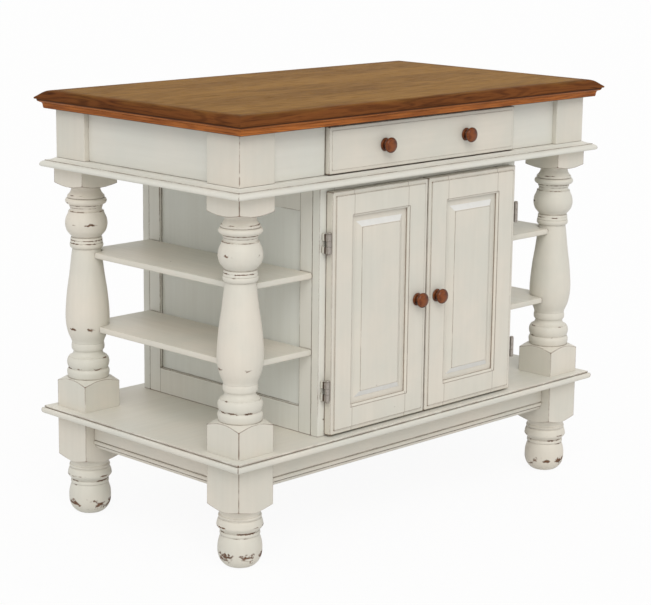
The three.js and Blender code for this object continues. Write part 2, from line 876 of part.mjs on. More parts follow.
// Each is drawn for the right side, round a pin along the Z axis, with its middle at the origin.
// Half a turn about the Y axis makes it the left side's.
const hingeX = doorOuterX + GAP + LEAF_THICKNESS + BARREL_REACH;
const hingeY = -cabinetY - BARREL_STANDOFF;

// The frame's leaf: a plate on the face frame, a knuckle at each end, and the pin with its finials.
function frameLeaf() {
  const half = LEAF_HEIGHT / 2;
  const knuckle = KNUCKLE_HEIGHT / 2 + GAP;
  const barrelHalf = [
    [PIN_RADIUS, knuckle],
    [BARREL_RADIUS, knuckle],
    [BARREL_RADIUS, half],
    [BARREL_RADIUS * 0.75, half + 0.6],
    [BARREL_RADIUS * 0.95, half + 0.5 * FINIAL_HEIGHT],
    [0, half + FINIAL_HEIGHT],
  ];
  const mirrored = barrelHalf.map(([radius, z]) => [radius, -z]).reverse();
  let leaf = solid(turned([...mirrored, ...barrelHalf], BARREL_SIDES));
  const plateFace = BARREL_STANDOFF - GAP - LEAF_THICKNESS;
  const plateBack = BARREL_STANDOFF - GAP;
  leaf = leaf.add(solid(box(-BARREL_RADIUS / 2, LEAF_WIDTH, plateFace, plateBack, -half, half)));
  const webs = [
    [-half, -knuckle],
    [knuckle, half],
  ];
  for (const [low, high] of webs) {
    const web = box(PIN_RADIUS / 2, BARREL_RADIUS - GAP, 0, plateFace + 0.5, low, high);
    leaf = leaf.add(solid(web));
  }
  return geometryOf(leaf);
}

// The door's leaf: a plate on the door's edge, and one knuckle round the pin.
function doorLeaf() {
  const half = LEAF_HEIGHT / 2;
  const knuckle = KNUCKLE_HEIGHT / 2;
  const plateOuter = -BARREL_REACH;
  const plateInner = plateOuter - LEAF_THICKNESS;
  const plateBack = doorBackY - hingeY - 1;
  const plateFront = doorFaceY + DOOR_RIM_DROP + 1.5 - hingeY;
  const barrel = rod(BARREL_RADIUS, KNUCKLE_HEIGHT, BARREL_SIDES);
  const web = box(plateOuter - 0.5, 0, -BARREL_RADIUS / 2, BARREL_RADIUS / 2, -knuckle, knuckle);
  const bore = rod(PIN_RADIUS + GAP, KNUCKLE_HEIGHT + 2, BARREL_SIDES);
  const leaf = solid(box(plateInner, plateOuter, plateFront, plateBack, -half, half))
    .add(solid(web))
    .add(solid(barrel))
    .subtract(solid(bore));
  return geometryOf(leaf);
}

function hinges() {
  const levels = [
    ["top", doorTop - HINGE_TOP_INSET],
    ["bottom", doorBottom + HINGE_BOTTOM_INSET],
  ];
  for (const [side, sx] of ENDS) {
    const turn = [0, sx > 0 ? 0 : Math.PI, 0];
    for (const [level, z] of levels) {
      const name = "hinge_" + side + "_" + level;
      const place = [sx * hingeX, hingeY, z];
      add(name + "_frame_leaf", frameLeaf(), bronze, place, turn);
      add(name + "_door_leaf", doorLeaf(), bronze, place, turn);
    }
  }
}

// ---------------------------------------------------------------------------------------------
// Drawer: a front, a box with a grooved-in bottom, and two runners on the ledge
// ---------------------------------------------------------------------------------------------

const drawerFaceY = -blockY;
const drawerBackOfFront = drawerFaceY + DRAWER_FRONT_THICKNESS;
const drawerSideX = drawerFrontX - DRAWER_SIDE_INSET;
const drawerSideBottom = ledgeTop + RUNNER_STEP + 2 * GAP;
const drawerSideTop = drawerFrontTop - DRAWER_BOX_DROP;
const drawerEndY = railInnerY - DRAWER_BACK_ROOM;

function drawerFront() {
  const halfZ = (drawerFrontTop - drawerFrontBottom) / 2;
  const fieldX = drawerFrontX - DRAWER_RIM;
  const fieldZ = halfZ - DRAWER_RIM;
  const front = mouldedBoard([
    [fieldX, fieldZ, DRAWER_FRONT_THICKNESS],
    [fieldX + 0.5, fieldZ + 0.5, DRAWER_FRONT_THICKNESS - 1.2],
    [drawerFrontX - 1.5, halfZ - 1.5, DRAWER_FRONT_THICKNESS - 1.2],
    [drawerFrontX, halfZ, DRAWER_FRONT_THICKNESS - 2.7],
    [drawerFrontX, halfZ, 0],
  ]);
  const middle = (drawerFrontTop + drawerFrontBottom) / 2;
  add("drawer_front", front, paint, [0, drawerBackOfFront, middle], FACING_FRONT);
  for (const [name, sx] of ENDS) {
    knob("drawer_knob_" + name, (sx * DRAWER_KNOB_SPACING) / 2, drawerFaceY, middle);
  }
}

function drawerBox() {
  const y0 = drawerBackOfFront + GAP;
  const grooveLow = drawerSideBottom + DRAWER_BOTTOM_RISE;
  const grooveHigh = grooveLow + DRAWER_BOTTOM + 2 * GAP;
  const innerX = drawerSideX - DRAWER_SIDE;
  for (const [name, sx] of ENDS) {
    const outline = [
      [drawerSideX, drawerSideBottom],
      [drawerSideX, drawerSideTop],
      [innerX, drawerSideTop],
      [innerX, grooveHigh],
      [innerX + DRAWER_GROOVE, grooveHigh],
      [innerX + DRAWER_GROOVE, grooveLow],
      [innerX, grooveLow],
      [innerX, drawerSideBottom],
    ];
    add("drawer_side_" + name, alongY(outline.map(([x, z]) => [sx * x, z]), y0, drawerEndY), bareWood);
  }
  const bottomX = innerX + DRAWER_GROOVE - GAP;
  const bottomZ = grooveLow + GAP;
  const bottom = box(-bottomX, bottomX, y0, drawerEndY, bottomZ, bottomZ + DRAWER_BOTTOM);
  add("drawer_bottom", bottom, bareWood);
  const backX = innerX - GAP;
  const backY = drawerEndY - DRAWER_SIDE;
  add("drawer_back", box(-backX, backX, backY, drawerEndY, grooveHigh, drawerSideTop), bareWood);
}

// A runner is an angle: the drawer's side slides on its foot, and its wall guides the drawer.
function runners() {
  const wallInner = drawerSideX + RUNNER_CLEARANCE;
  const wallOuter = wallInner + RUNNER_WALL;
  const bottom = ledgeTop + GAP;
  const outline = [
    [wallOuter, bottom],
    [wallOuter, bottom + RUNNER_HEIGHT],
    [wallInner, bottom + RUNNER_HEIGHT],
    [wallInner, bottom + RUNNER_STEP],
    [wallOuter - RUNNER_WIDTH, bottom + RUNNER_STEP],
    [wallOuter - RUNNER_WIDTH, bottom],
  ];
  for (const [name, sx] of ENDS) {
    const mirrored = outline.map(([x, z]) => [sx * x, z]);
    const runner = alongY(mirrored, GAP - railInnerY, railInnerY - GAP);
    add("drawer_runner_" + name, runner, bareWood);
  }
}

// ---------------------------------------------------------------------------------------------
// End shelves, notched round the posts
// ---------------------------------------------------------------------------------------------

function endShelf(top) {
  const bottom = top - END_SHELF;
  const inner = cabinetX + GAP;
  const halfX = (blockX - SHELF_INSET - inner) / 2;
  const halfY = blockY - SHELF_FRONT_INSET;
  const soft = 0.3 * SHELF_EDGE;
  const board = mouldedBoard([
    [halfX - SHELF_EDGE, halfY - SHELF_EDGE, top],
    [halfX - soft, halfY - soft, top - soft],
    [halfX, halfY, top - SHELF_EDGE],
    [halfX, halfY, bottom + SHELF_EDGE],
    [halfX - soft, halfY - soft, bottom + soft],
    [halfX - SHELF_EDGE, halfY - SHELF_EDGE, bottom],
  ]);
  const middleX = inner + halfX;
  let shelf = solid(board);
  const flats = Math.cos(Math.PI / SHOULDER_SIDES);
  const radius = (postReach(bottom, top) + GAP) / flats;
  for (const end of [-1, 1]) {
    const notch = rod(radius, 2 * END_SHELF, SHOULDER_SIDES);
    notch.translate(postX - middleX, end * postY, top - END_SHELF / 2);
    shelf = shelf.subtract(solid(notch));
  }
  return { middleX, geometry: geometryOf(shelf) };
}

function endShelves() {
  const levels = [
    ["lower", LOWER_SHELF_SHARE],
    ["upper", UPPER_SHELF_SHARE],
  ];
  for (const [level, share] of levels) {
    const { middleX, geometry } = endShelf(DECK_TOP + share * (ledgeBottom - DECK_TOP));
    add("end_shelf_right_" + level, geometry, paint, [middleX, 0, 0]);
    add("end_shelf_left_" + level, geometry.clone(), paint, [-middleX, 0, 0], [0, 0, Math.PI]);
  }
}

worktop();
underMoulding();
apronBlocks();
apronRails();
ledgeAndDeck();
posts();
feetAndBaseRails();
cabinetSides();
cabinetBack();
faceFrame();
innerShelf();
doors();
hinges();
drawerFront();
drawerBox();
runners();
endShelves();

export default island;
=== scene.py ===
# %% [markdown]
# # A painted kitchen island with an oak top
#
# The island is white over a turned and framed carcass, rubbed through to brown along its arrises,
# under a golden brown oak top with a dark moulded border. The frame of the model, with its real
# sizes and moving parts, is already made. This lesson gives it its looks: softer edges, fuller
# turnings and mouldings, and finishes built only from noise and geometry.

# %% Load the frame
import json
import math

import bmesh
import bpy
import numpy as np
from mathutils import Matrix, Vector


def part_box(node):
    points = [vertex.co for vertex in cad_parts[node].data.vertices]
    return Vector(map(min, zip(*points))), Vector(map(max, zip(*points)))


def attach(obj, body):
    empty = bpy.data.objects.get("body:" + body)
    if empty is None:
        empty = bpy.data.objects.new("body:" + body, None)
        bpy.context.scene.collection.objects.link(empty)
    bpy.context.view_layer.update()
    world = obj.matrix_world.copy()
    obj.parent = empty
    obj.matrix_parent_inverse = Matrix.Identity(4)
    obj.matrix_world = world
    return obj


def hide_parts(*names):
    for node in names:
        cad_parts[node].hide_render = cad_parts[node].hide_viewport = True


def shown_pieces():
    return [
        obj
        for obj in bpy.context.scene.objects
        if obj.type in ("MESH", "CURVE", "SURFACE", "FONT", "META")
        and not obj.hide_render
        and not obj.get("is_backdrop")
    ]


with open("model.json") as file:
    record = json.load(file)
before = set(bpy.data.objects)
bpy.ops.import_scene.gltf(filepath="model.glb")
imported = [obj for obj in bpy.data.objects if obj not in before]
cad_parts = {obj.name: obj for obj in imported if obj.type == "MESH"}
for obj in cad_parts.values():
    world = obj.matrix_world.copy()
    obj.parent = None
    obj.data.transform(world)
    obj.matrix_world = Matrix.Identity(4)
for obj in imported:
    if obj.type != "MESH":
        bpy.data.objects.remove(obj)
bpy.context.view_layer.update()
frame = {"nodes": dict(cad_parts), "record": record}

# %% [markdown]
# ## The camera
#
# A product photograph is taken from a few metres away with a long lens, so uprights stay nearly
# upright. The camera could be placed by eye. Here it stands where the photograph's own edges say
# it stood, with a slight roll and the lens that gives the same perspective on a 36 mm sensor.

# %% Camera
CAMERA_PLACE = Vector((-3.0584, -3.0125, 1.3619))
CAMERA_TARGET = Vector((0.0084, 0.0158, 0.4263))
CAMERA_ROLL = math.radians(0.662)
CAMERA_LENS = 109.3


def camera_turn(place, target, roll):
    """The rotation of a camera at place that looks at target, rolled about its own axis."""
    back = (place - target).normalized()
    right = Vector((0, 0, 1)).cross(back).normalized()
    up = back.cross(right)
    turned_right = right * math.cos(roll) + up * math.sin(roll)
    turned_up = up * math.cos(roll) - right * math.sin(roll)
    return Matrix((turned_right, turned_up, back)).transposed()


def add_object(name, data):
    """A new object in the scene."""
    thing = bpy.data.objects.new(name, data)
    scene.collection.objects.link(thing)
    return thing


scene = bpy.context.scene
lens = bpy.data.cameras.new("camera")
lens.lens = CAMERA_LENS
lens.sensor_width = 36
camera = add_object("camera", lens)
turn = camera_turn(CAMERA_PLACE, CAMERA_TARGET, CAMERA_ROLL)
camera.matrix_world = Matrix.Translation(CAMERA_PLACE) @ turn.to_4x4()
scene.camera = camera
print("camera:", round(CAMERA_PLACE.length, 2), "m away")

# %% [markdown]
# ## Sizes that the shapes share
#
# Every new shape stands where its part of the frame stands, so its main sizes are read from the
# frame. Only what the frame leaves out, such as the run of a bead, is written here, with MM to
# turn millimetres into metres.

# %% Sizes read from the frame
MM = 0.001


def middle_of(node):
    """The middle of a node's box."""
    low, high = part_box(node)
    return (low + high) / 2


def reach(node, axis):
    """How far a node reaches from the middle of the island along one axis."""
    low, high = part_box(node)
    return max(-low[axis], high[axis])


lip_x = reach("top_edge", 0)
lip_y = reach("top_edge", 1)
field_x = reach("top_board", 0)
field_y = reach("top_board", 1)
top_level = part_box("top_board")[1].z
lip_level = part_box("top_edge")[0].z
under_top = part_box("top_under_moulding")[1].z
ledge_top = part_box("ledge")[1].z
ledge_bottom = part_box("ledge")[0].z
deck_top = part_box("deck")[1].z
print("top", round(2 * lip_x, 4), "by", round(2 * lip_y, 4), "and", round(top_level, 4), "high")

# %% [markdown]
# ## Outlines
#
# A moulding or a turning is an outline first. A woodworker reads it as a list: down a fillet,
# round a bead, into a hollow. The Outline class keeps that list in millimetres, as straight cuts
# and as smooth curves through a few points.

# %% The outline helper
class Outline:
    """Points of a profile, in the order that a cutter would follow them."""

    def __init__(self, *points):
        self.points = list(points)

    def to(self, *points):
        """Straight cuts from point to point."""
        self.points += points
        return self

    def curve(self, *through, steps=5):
        """A smooth line through the given points."""
        known = [self.points[-1], *through]
        for i in range(len(known) - 1):
            before = np.array(known[max(i - 1, 0)])
            start = np.array(known[i])
            end = np.array(known[i + 1])
            after = np.array(known[min(i + 2, len(known) - 1)])
            for k in range(1, steps + 1):
                t = k / steps
                point = 0.5 * (
                    2 * start
                    + (end - before) * t
                    + (2 * before - 5 * start + 4 * end - after) * t**2
                    + (3 * start - before - 3 * end + after) * t**3
                )
                self.points.append(tuple(point))
        return self

    def metres(self, level=0.0, way=1):
        """The points in metres, going up from a level, or down with -1."""
        return [(across * MM, level + way * height * MM) for across, height in self.points]


print("outline helper ready")

# %% [markdown]
# ## Making a piece
#
# Every piece goes through one function. It makes the object, hides the plain part of the frame
# that it stands for, and ties it to the body that it moves with. Edges stay sharp where faces
# meet at more than about 30 degrees, and the Weighted Normal modifier keeps big faces flat.

# %% Making a piece
SHARP = math.radians(32)
behaviour = frame["record"]["behaviour"]
body_of_node = {node: body for body, nodes in behaviour["bodies"].items() for node in nodes}


def mesh_of(name, shape):
    """A mesh from a bmesh, with its faces turned outwards."""
    bmesh.ops.recalc_face_normals(shape, faces=shape.faces)
    mesh = bpy.data.meshes.new(name)
    shape.to_mesh(mesh)
    shape.free()
    return mesh


def make_piece(node, mesh, material):
    """Puts a mesh, or a bmesh, in the scene in place of a node of the frame."""
    if isinstance(mesh, bmesh.types.BMesh):
        mesh = mesh_of(node, mesh)
    mesh.polygons.foreach_set("use_smooth", [True] * len(mesh.polygons))
    mesh.set_sharp_from_angle(angle=SHARP)
    mesh.materials.clear()
    mesh.materials.append(material)
    piece = add_object(node, mesh)
    flat = piece.modifiers.new("flat faces", "WEIGHTED_NORMAL")
    flat.keep_sharp = True
    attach(piece, body_of_node[node])
    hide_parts(node)


print("pieces ride on", sorted(set(body_of_node.values())))

# %% [markdown]
# ## Nodes as values
#
# A finish is a sum of many small calculations, and each is a node. To write them as a sum, the
# class Value stands for a node's output: every sign in a line of code adds one Math node to the
# tree. The helpers add the other kinds of nodes. Their values go to the node's inputs in order.

# %% Values and helpers for nodes
class Value:
    """An output of a node. Each sign or comparison adds a Math node."""

    def __init__(self, socket):
        self.socket = socket

    __add__ = lambda self, other: calculate("ADD", self, other)
    __sub__ = lambda self, other: calculate("SUBTRACT", self, other)
    __rsub__ = lambda self, other: calculate("SUBTRACT", other, self)
    __mul__ = lambda self, other: calculate("MULTIPLY", self, other)
    __truediv__ = lambda self, other: calculate("DIVIDE", self, other)
    __gt__ = lambda self, other: calculate("GREATER_THAN", self, other)
    __lt__ = lambda self, other: calculate("LESS_THAN", self, other)
    __abs__ = lambda self: calculate("ABSOLUTE", self)


def feed(node, inputs):
    """Sets or links the inputs of a node that are in use, each given by number or by name."""
    live = [s for s in node.inputs if s.enabled]
    for key, value in inputs.items():
        socket = live[key] if isinstance(key, int) else next(s for s in live if s.name == key)
        if isinstance(value, Value):
            socket.id_data.links.new(value.socket, socket)
        elif value is not None:
            socket.default_value = value


def outputs(kind, *values, tree=None, named=None, **settings):
    """Adds a node to the tree of its values, and gives its outputs by name."""
    if tree is None:
        tree = next(v for v in values if isinstance(v, Value)).socket.id_data
    node = tree.nodes.new("ShaderNode" + kind)
    for key, value in settings.items():
        setattr(node, key, value)
    feed(node, {**dict(enumerate(values)), **(named or {})})
    return {s.name: Value(s) for s in node.outputs if s.enabled}


def result(*values, **settings):
    """Adds a node, and gives its first output."""
    return next(iter(outputs(*values, **settings).values()))


def calculate(operation, *values, **settings):
    """The result of a Math node."""
    return result("Math", *values, operation=operation, **settings)


def greatest(first, second):
    """The greater of two values."""
    return calculate("MAXIMUM", first, second)


def between(value, low, high, bottom=0.0, top=1.0):
    """A value carried smoothly from one range to another."""
    settings = {"interpolation_type": "SMOOTHSTEP"}
    return result("MapRange", value, low, high, bottom, top, **settings)


def blend(share, first, second):
    """One colour laid over another."""
    return result("Mix", share, first, second, data_type="RGBA")


def noise(where, scale, detail=2.0, roughness=0.5):
    """A noise value between 0 and 1."""
    return result("TexNoise", where, scale, detail, roughness)


def vector(operation, *values):
    """The result of a Vector Math node."""
    return result("VectorMath", *values, operation=operation)


def stretched(where, scale):
    """Coordinates scaled along each axis."""
    return result("Mapping", where, None, None, scale)


def across_grain(where):
    """Coordinates with X and Y exchanged."""
    axes = outputs("SeparateXYZ", where)
    return result("CombineXYZ", axes["Y"], axes["X"], axes["Z"])


def openness(where, distance, **settings):
    """How free of other faces a place is, up to a distance, from 0 to 1."""
    tree = where.socket.id_data
    return outputs("AmbientOcclusion", None, distance, tree=tree, samples=8, **settings)["AO"]


print("helpers for nodes are ready")

# %% [markdown]
# ## Node groups for the finishes
#
# Several finishes share an effect. Each such effect is one shader group with named inputs, built
# once and placed in every material that needs it. The helper takes a function that adds the
# nodes, and gives back a function that places the group.

# %% Making a group
SOCKET_KINDS = {
    "VALUE": "NodeSocketFloat", "VECTOR": "NodeSocketVector", "RGBA": "NodeSocketColor"
}
KIND_BY_LENGTH = {1: "VALUE", 3: "VECTOR", 4: "RGBA"}
ANYWHERE = (0, 0, 0)


def titled(key):
    """The name of a socket, such as Patch Scale for patch_scale."""
    return key.replace("_", " ").title().replace("Ior", "IOR")


def shader_group(name, build, **defaults):
    """A group with the nodes that build adds, as a function that places it in a material."""
    group = bpy.data.node_groups.new(name, "ShaderNodeTree")

    def add_socket(key, direction, kind):
        kind = SOCKET_KINDS[kind]
        return group.interface.new_socket(key, in_out=direction, socket_type=kind)

    for key, value in defaults.items():
        socket = add_socket(titled(key), "INPUT", KIND_BY_LENGTH[np.size(value)])
        socket.default_value = value
    given = group.nodes.new("NodeGroupInput")
    results = build(*[Value(s) for s in given.outputs if s.name])
    for key, value in results.items():
        add_socket(key, "OUTPUT", value.socket.type)
    feed(group.nodes.new("NodeGroupOutput"), results)
    print("group:", name)

    def placed(where, **inputs):
        named = {titled(key): value for key, value in inputs.items()}
        return outputs("Group", where, named=named, node_tree=group)

    return placed


# %% [markdown]
# ### Rubbed arrises
#
# The maker sands the corners after painting, so brown wood shows in thin, broken lines. An arris
# can be found by looking inwards: under a flat face there is only wood, but just under an arris
# the air on the other side is near. The Ambient Occlusion node can look inside like this. It
# stays in the material, and noise in this group decides where the sandpaper went through.

# %% Group: rubbed arris
def rub_arrises(where, inside, amount, patch_scale):
    """Where paint is sanded through, from how near an arris is."""
    edge = between(inside, 0.97, 0.55)
    patches = noise(where, patch_scale, 3.0, 0.6)
    grit = noise(where, 420.0, 2.0, 0.6)
    pressed = patches + grit * 0.3 + edge * 0.6
    return {"Rub": between(pressed - (1.65 - amount), 0.0, 0.12) * edge}


rubbed_arris = shader_group(
    "rubbed arris", rub_arrises, where=ANYWHERE, inside=1.0, amount=0.5, patch_scale=18.0
)

# %% [markdown]
# ### Sanded bands
#
# On a turning the sandpaper also goes through where the work is widest, and leaves dashes along a
# ring. The group takes a level, how far the marks spread above and below it, and how much of the
# round they cover.

# %% Group: sanded bands
def sand_bands(where, height, level, spread, cover):
    """Dabs of bare wood round a turning, at one level."""
    away = abs(height - level) / spread
    ragged = between(noise(where, 190.0, 3.0, 0.6), 0.3, 0.7, -0.5, 0.5)
    dabs = noise(stretched(where, (1.0, 1.0, 1.8)), 36.0, 2.0, 0.5)
    dab = between(dabs - between(cover, 0.0, 1.0, 0.68, 0.32), -0.02, 0.06)
    return {"Mark": dab * between(away + ragged, 1.0, 0.5)}


sanded_bands = shader_group(
    "sanded bands", sand_bands, where=ANYWHERE, height=0.0, level=0.0, spread=0.004, cover=0.2
)

# %% [markdown]
# ### Glaze and painted shade in the quirks
#
# A thin brown glaze is wiped over and off again. It stays where the rag can't reach, in grooves
# and inner corners. There the view outwards is blocked, which plain ambient occlusion finds. The
# same darkening is also painted shade, for the shade that falls in those creases and where pieces
# meet.

# %% Group: glaze and painted shade in the quirks
def wipe_glaze_and_shade(where, outside, strength):
    """Where glaze stays behind and painted shade darkens creases, from how open a place is."""
    closed = between(outside, 0.84, 0.4)
    wiped = between(noise(where, 26.0, 3.0), 0.3, 0.7, 0.45, 1.0)
    return {"Glaze": calculate("MULTIPLY", closed * wiped, strength, use_clamp=True)}


quirk_glaze_and_shade = shader_group(
    "glaze in the quirks", wipe_glaze_and_shade, where=ANYWHERE, outside=1.0, strength=1.0
)

# %% [markdown]
# ### Specks
#
# The finish is flecked with dark dots, as from a shaken brush. The cells of a Voronoi pattern
# give evenly spread places, and their random colour keeps only a few of them.

# %% Group: specks
SPECK_SHAKE = (0.0015, 0.0015, 0.0015)


def fleck(where, scale, share):
    """Small dots in a few cells of a pattern."""
    ragged = outputs("TexNoise", where, 500.0)["Color"]
    cells = outputs("TexVoronoi", vector("MULTIPLY_ADD", ragged, SPECK_SHAKE, where), scale)
    drawn = outputs("SeparateColor", cells["Color"])
    size = between(drawn["Green"], 0.0, 1.0, 0.02, 0.07)
    return {"Speck": (drawn["Red"] < share) * (cells["Distance"] < size)}


specks = shader_group("specks", fleck, where=ANYWHERE, scale=40.0, share=0.1)

# %% [markdown]
# ### Joint lines
#
# Where the rail of a frame meets a stile, the paint cracks in a hairline. It lies at one distance
# from the frame's middle, and only beyond the opening, so two comparisons draw it.

# %% Group: joint lines
def crack_joints(across, up, joint, opening):
    """A hairline where a rail meets a stile."""
    line = between(abs(abs(across) - joint), 0.15 * MM, 0.55 * MM, 1.0, 0.0)
    return {"Line": line * (abs(up) > opening)}


joint_lines = shader_group(
    "joint lines", crack_joints, across=0.0, up=0.0, joint=1.0, opening=1.0
)

# %% [markdown]
# ### The paint itself
#
# The white is not one colour. It wanders between a pinkish and a greenish grey over a hand's
# width, and fine brush marks run along each board. Over that lie a lighter, cooler white as
# painted fill light, a white as painted light on panel bevels, the glaze with painted shade in
# its creases, the specks and the rubbed brown wood. The group gives the paint's roughness and
# its small relief as well.

# %% Group: antique paint
WHITE_WARM = (0.735, 0.685, 0.6, 1)
WHITE_GREEN = (0.66, 0.645, 0.575, 1)
# Painted fill light: a lighter, cooler white laid over pieces that lie in shade.
WHITE_PAINTED_FILL = (0.8, 0.83, 0.79, 1)
# Painted light: the white of the panel bevels that face up and down.
WHITE_PAINTED_LIGHT = (0.76, 0.76, 0.74, 1)
STROKE_GREY = (0.5, 0.46, 0.39, 1)
# Brown of the glaze, which is partly painted shade in the creases, and of the joint lines.
GLAZE_AND_SHADE_BROWN = (0.17, 0.115, 0.07, 1)
SPECK_BROWN = (0.1, 0.055, 0.03, 1)
WOOD_LIGHT = (0.2, 0.095, 0.045, 1)
WOOD_DARK = (0.055, 0.028, 0.017, 1)


def paint_and_wear(where, brush, rub, glaze, speck, line, cool, bright):
    """Colour, roughness and relief of the paint with all its wear, painted fill light, painted
    light on bevels and painted shade in the creases.
    """
    mottle = between(noise(where, 5.0, 4.0, 0.6), 0.3, 0.7)
    strokes = noise(vector("MULTIPLY", where, brush), 90.0, 3.0, 0.55)
    colour = blend(mottle, WHITE_WARM, WHITE_GREEN)
    for share, laid in (
        (cool, WHITE_PAINTED_FILL),
        (bright, WHITE_PAINTED_LIGHT),
        (between(strokes, 0.25, 0.75, 0.0, 0.09), STROKE_GREY),
        # Glaze, partly painted shade in the creases.
        (between(glaze, 0.0, 1.0, 0.0, 0.85), GLAZE_AND_SHADE_BROWN),
        (line, GLAZE_AND_SHADE_BROWN),
        (speck, SPECK_BROWN),
        (rub, blend(noise(where, 160.0, 2.0), WOOD_LIGHT, WOOD_DARK)),
    ):
        colour = blend(share, colour, laid)
    return {
        "Colour": colour,
        "Roughness": between(strokes, 0.2, 0.8, 0.42, 0.56) + rub * 0.15,
        "Height": strokes * 0.35 - (rub + line + speck) * 0.8,
    }


antique_paint = shader_group(
    "antique paint", paint_and_wear, where=ANYWHERE, brush=(1.0, 1.0, 1.0),
    rub=0.0, glaze=0.0, speck=0.0, line=0.0, cool=0.0, bright=0.0,
)

# %% [markdown]
# ### The painted material
#
# Each painted piece gets its own copy of the material, with its own offset, so that no two posts
# are worn alike. The brush strokes are noise that is squeezed along one axis. Where a board has
# joints, their place goes in too.

# %% Material: antique white
ALONG_X = (0.06, 1.0, 1.0)
ALONG_Y = (1.0, 0.06, 1.0)
ALONG_Z = (1.0, 1.0, 0.06)
PAINT_RELIEF = 0.12 * MM


def new_material(name):
    """A new material, and the coordinates of its piece."""
    material = bpy.data.materials.new(name)
    material.use_nodes = True
    return material, outputs("TexCoord", tree=material.node_tree)["Object"]


def finished(material, look, depth, colour=None, **others):
    """Feeds a look (Colour, Roughness and Height, which makes the relief) to the shader."""
    relief = {"Height": look["Height"], "Distance": depth, "Strength": 1.0}
    normal = result("Bump", named=relief, tree=material.node_tree)
    inputs = {"Base Color": colour or look["Colour"], "Roughness": look["Roughness"]}
    inputs.update({titled(key): value for key, value in others.items()})
    feed(material.node_tree.nodes["Principled BSDF"], {**inputs, "Normal": normal})
    return material


def antique_white(
    node, seed, brush=ALONG_Z, rub=0.5, patch=16.0, glaze=1.0, joint=None, bands=(),
    alone=False, cool=0.0, ends=(), corner=None, bevels=None,
):
    """The painted finish of a node.

    joint is (axis across, middle, joint, height of middle, opening), and each of the bands is
    (level, spread, cover). Glaze, which is partly painted shade, lies along neighbouring pieces
    too, unless the piece is alone. The upright arris at corner, if there is one, is sanded
    through from end to end. The wood stays covered within 3 mm of the levels in ends. The bevels
    of a raised panel, (middle x, middle z, half width, half height of its field), get painted
    light above and below the field. A share of a lighter, cooler white can be laid over the piece
    as painted fill light.
    """
    material, where = new_material(node.replace("_", " ") + " white")
    own = vector("ADD", where, (seed * 1.7, seed * 0.9, seed * 1.3))
    axes = outputs("SeparateXYZ", where)
    inside = openness(where, 3 * MM, inside=True, only_local=True)
    outside = openness(where, 5 * MM, only_local=alone)
    wear = rubbed_arris(own, inside=inside, amount=rub, patch_scale=patch)["Rub"]
    if corner:
        flat = stretched(where, (1.0, 1.0, 0.0))
        away = vector("DISTANCE", flat, (corner.x, corner.y, 0.0))
        uneven = between(noise(own, 70.0, 3.0, 0.6), 0.3, 0.7, -0.5 * MM, 0.5 * MM)
        wear = greatest(wear, between(away + uneven, 1.9 * MM, 0.9 * MM, 0.0, 0.75))
    for level in ends:
        wear = wear * (abs(axes["Z"] - level) > 3 * MM)
    for level, spread, cover in bands:
        band = {"height": axes["Z"], "level": level, "spread": spread, "cover": cover}
        wear = greatest(wear, sanded_bands(own, **band)["Mark"])
    look = {
        "brush": brush,
        "rub": wear,
        "glaze": quirk_glaze_and_shade(own, outside=outside, strength=glaze)["Glaze"],
        "speck": specks(own, scale=32.0, share=0.09)["Speck"],
        # Painted fill light: a share of a lighter, cooler white.
        "cool": cool,
    }
    if bevels:
        middle_x, middle_z, half_x, half_z = bevels
        x_out = abs(axes["X"] - middle_x) - half_x
        z_out = abs(axes["Z"] - middle_z) - half_z
        on_bevel = between(z_out, 0.0, 1 * MM) * between(z_out, 12.5 * MM, 11.5 * MM)
        # Painted light on the bevels above and below the field.
        look["bright"] = (z_out > x_out) * on_bevel
    if joint:
        axis, middle, line, level, opening = joint
        places = {"up": axes["Z"] - level, "joint": line, "opening": opening}
        look["line"] = joint_lines(axes[axis] - middle, **places)["Line"]
    return finished(material, antique_paint(own, **look), PAINT_RELIEF, specular_ior_level=0.4)


print("antique white is ready to be given to each piece")

# %% [markdown]
# ### Oak
#
# Oak shows broad bands from the growth rings, fine dark pores along the grain, and another tone
# from board to board. All three are noise that is stretched along the grain. The rings are a sine
# of such a noise, which gives the pointed arches of a flat-sawn board.

# %% Group: oak grain
def grow_oak(grain, light, dark, pore_depth, board_width):
    """Colour, roughness and relief of stained oak whose grain runs along X."""
    row = calculate("FLOOR", outputs("SeparateXYZ", grain)["Y"] / board_width)
    drawn = result("TexWhiteNoise", row, noise_dimensions="1D")
    shift = drawn * 7.0
    own = vector("ADD", grain, result("CombineXYZ", shift, 0.0, shift))
    broad = noise(stretched(own, (1.0, 9.0, 9.0)), 1.6, 3.0, 0.5)
    rings = between(calculate("SINE", broad * 95.0), -0.6, 1.0)
    pores = noise(stretched(own, (1.0, 26.0, 26.0)), 24.0, 4.0, 0.65)
    pores = between(pores, 0.5, 0.66)
    tone = noise(stretched(own, (1.0, 4.0, 4.0)), 2.2, 3.0, 0.6)
    tone = between(tone, 0.3, 0.7, -0.12, 0.22)
    share = rings * 0.3 + pores * 0.4 + drawn * 0.18
    return {
        "Colour": blend(calculate("ADD", share, tone, use_clamp=True), light, dark),
        "Roughness": between(pores, 0.0, 1.0, 0.3, 0.46),
        "Height": 1.0 - pores * pore_depth,
    }


oak_grain = shader_group(
    "oak grain", grow_oak, grain=ANYWHERE, light=(0.45, 0.23, 0.07, 1),
    dark=(0.16, 0.065, 0.018, 1), pore_depth=0.6, board_width=0.085,
)

# %% [markdown]
# ### The worktop's stain
#
# The field is golden brown, the stain darkens towards the border with no hard line, and the
# moulded border is darkest. One group says how far a place is from the edge of the field, so that
# both darken together. It also turns the grain at the mitres, so that it runs along each side.

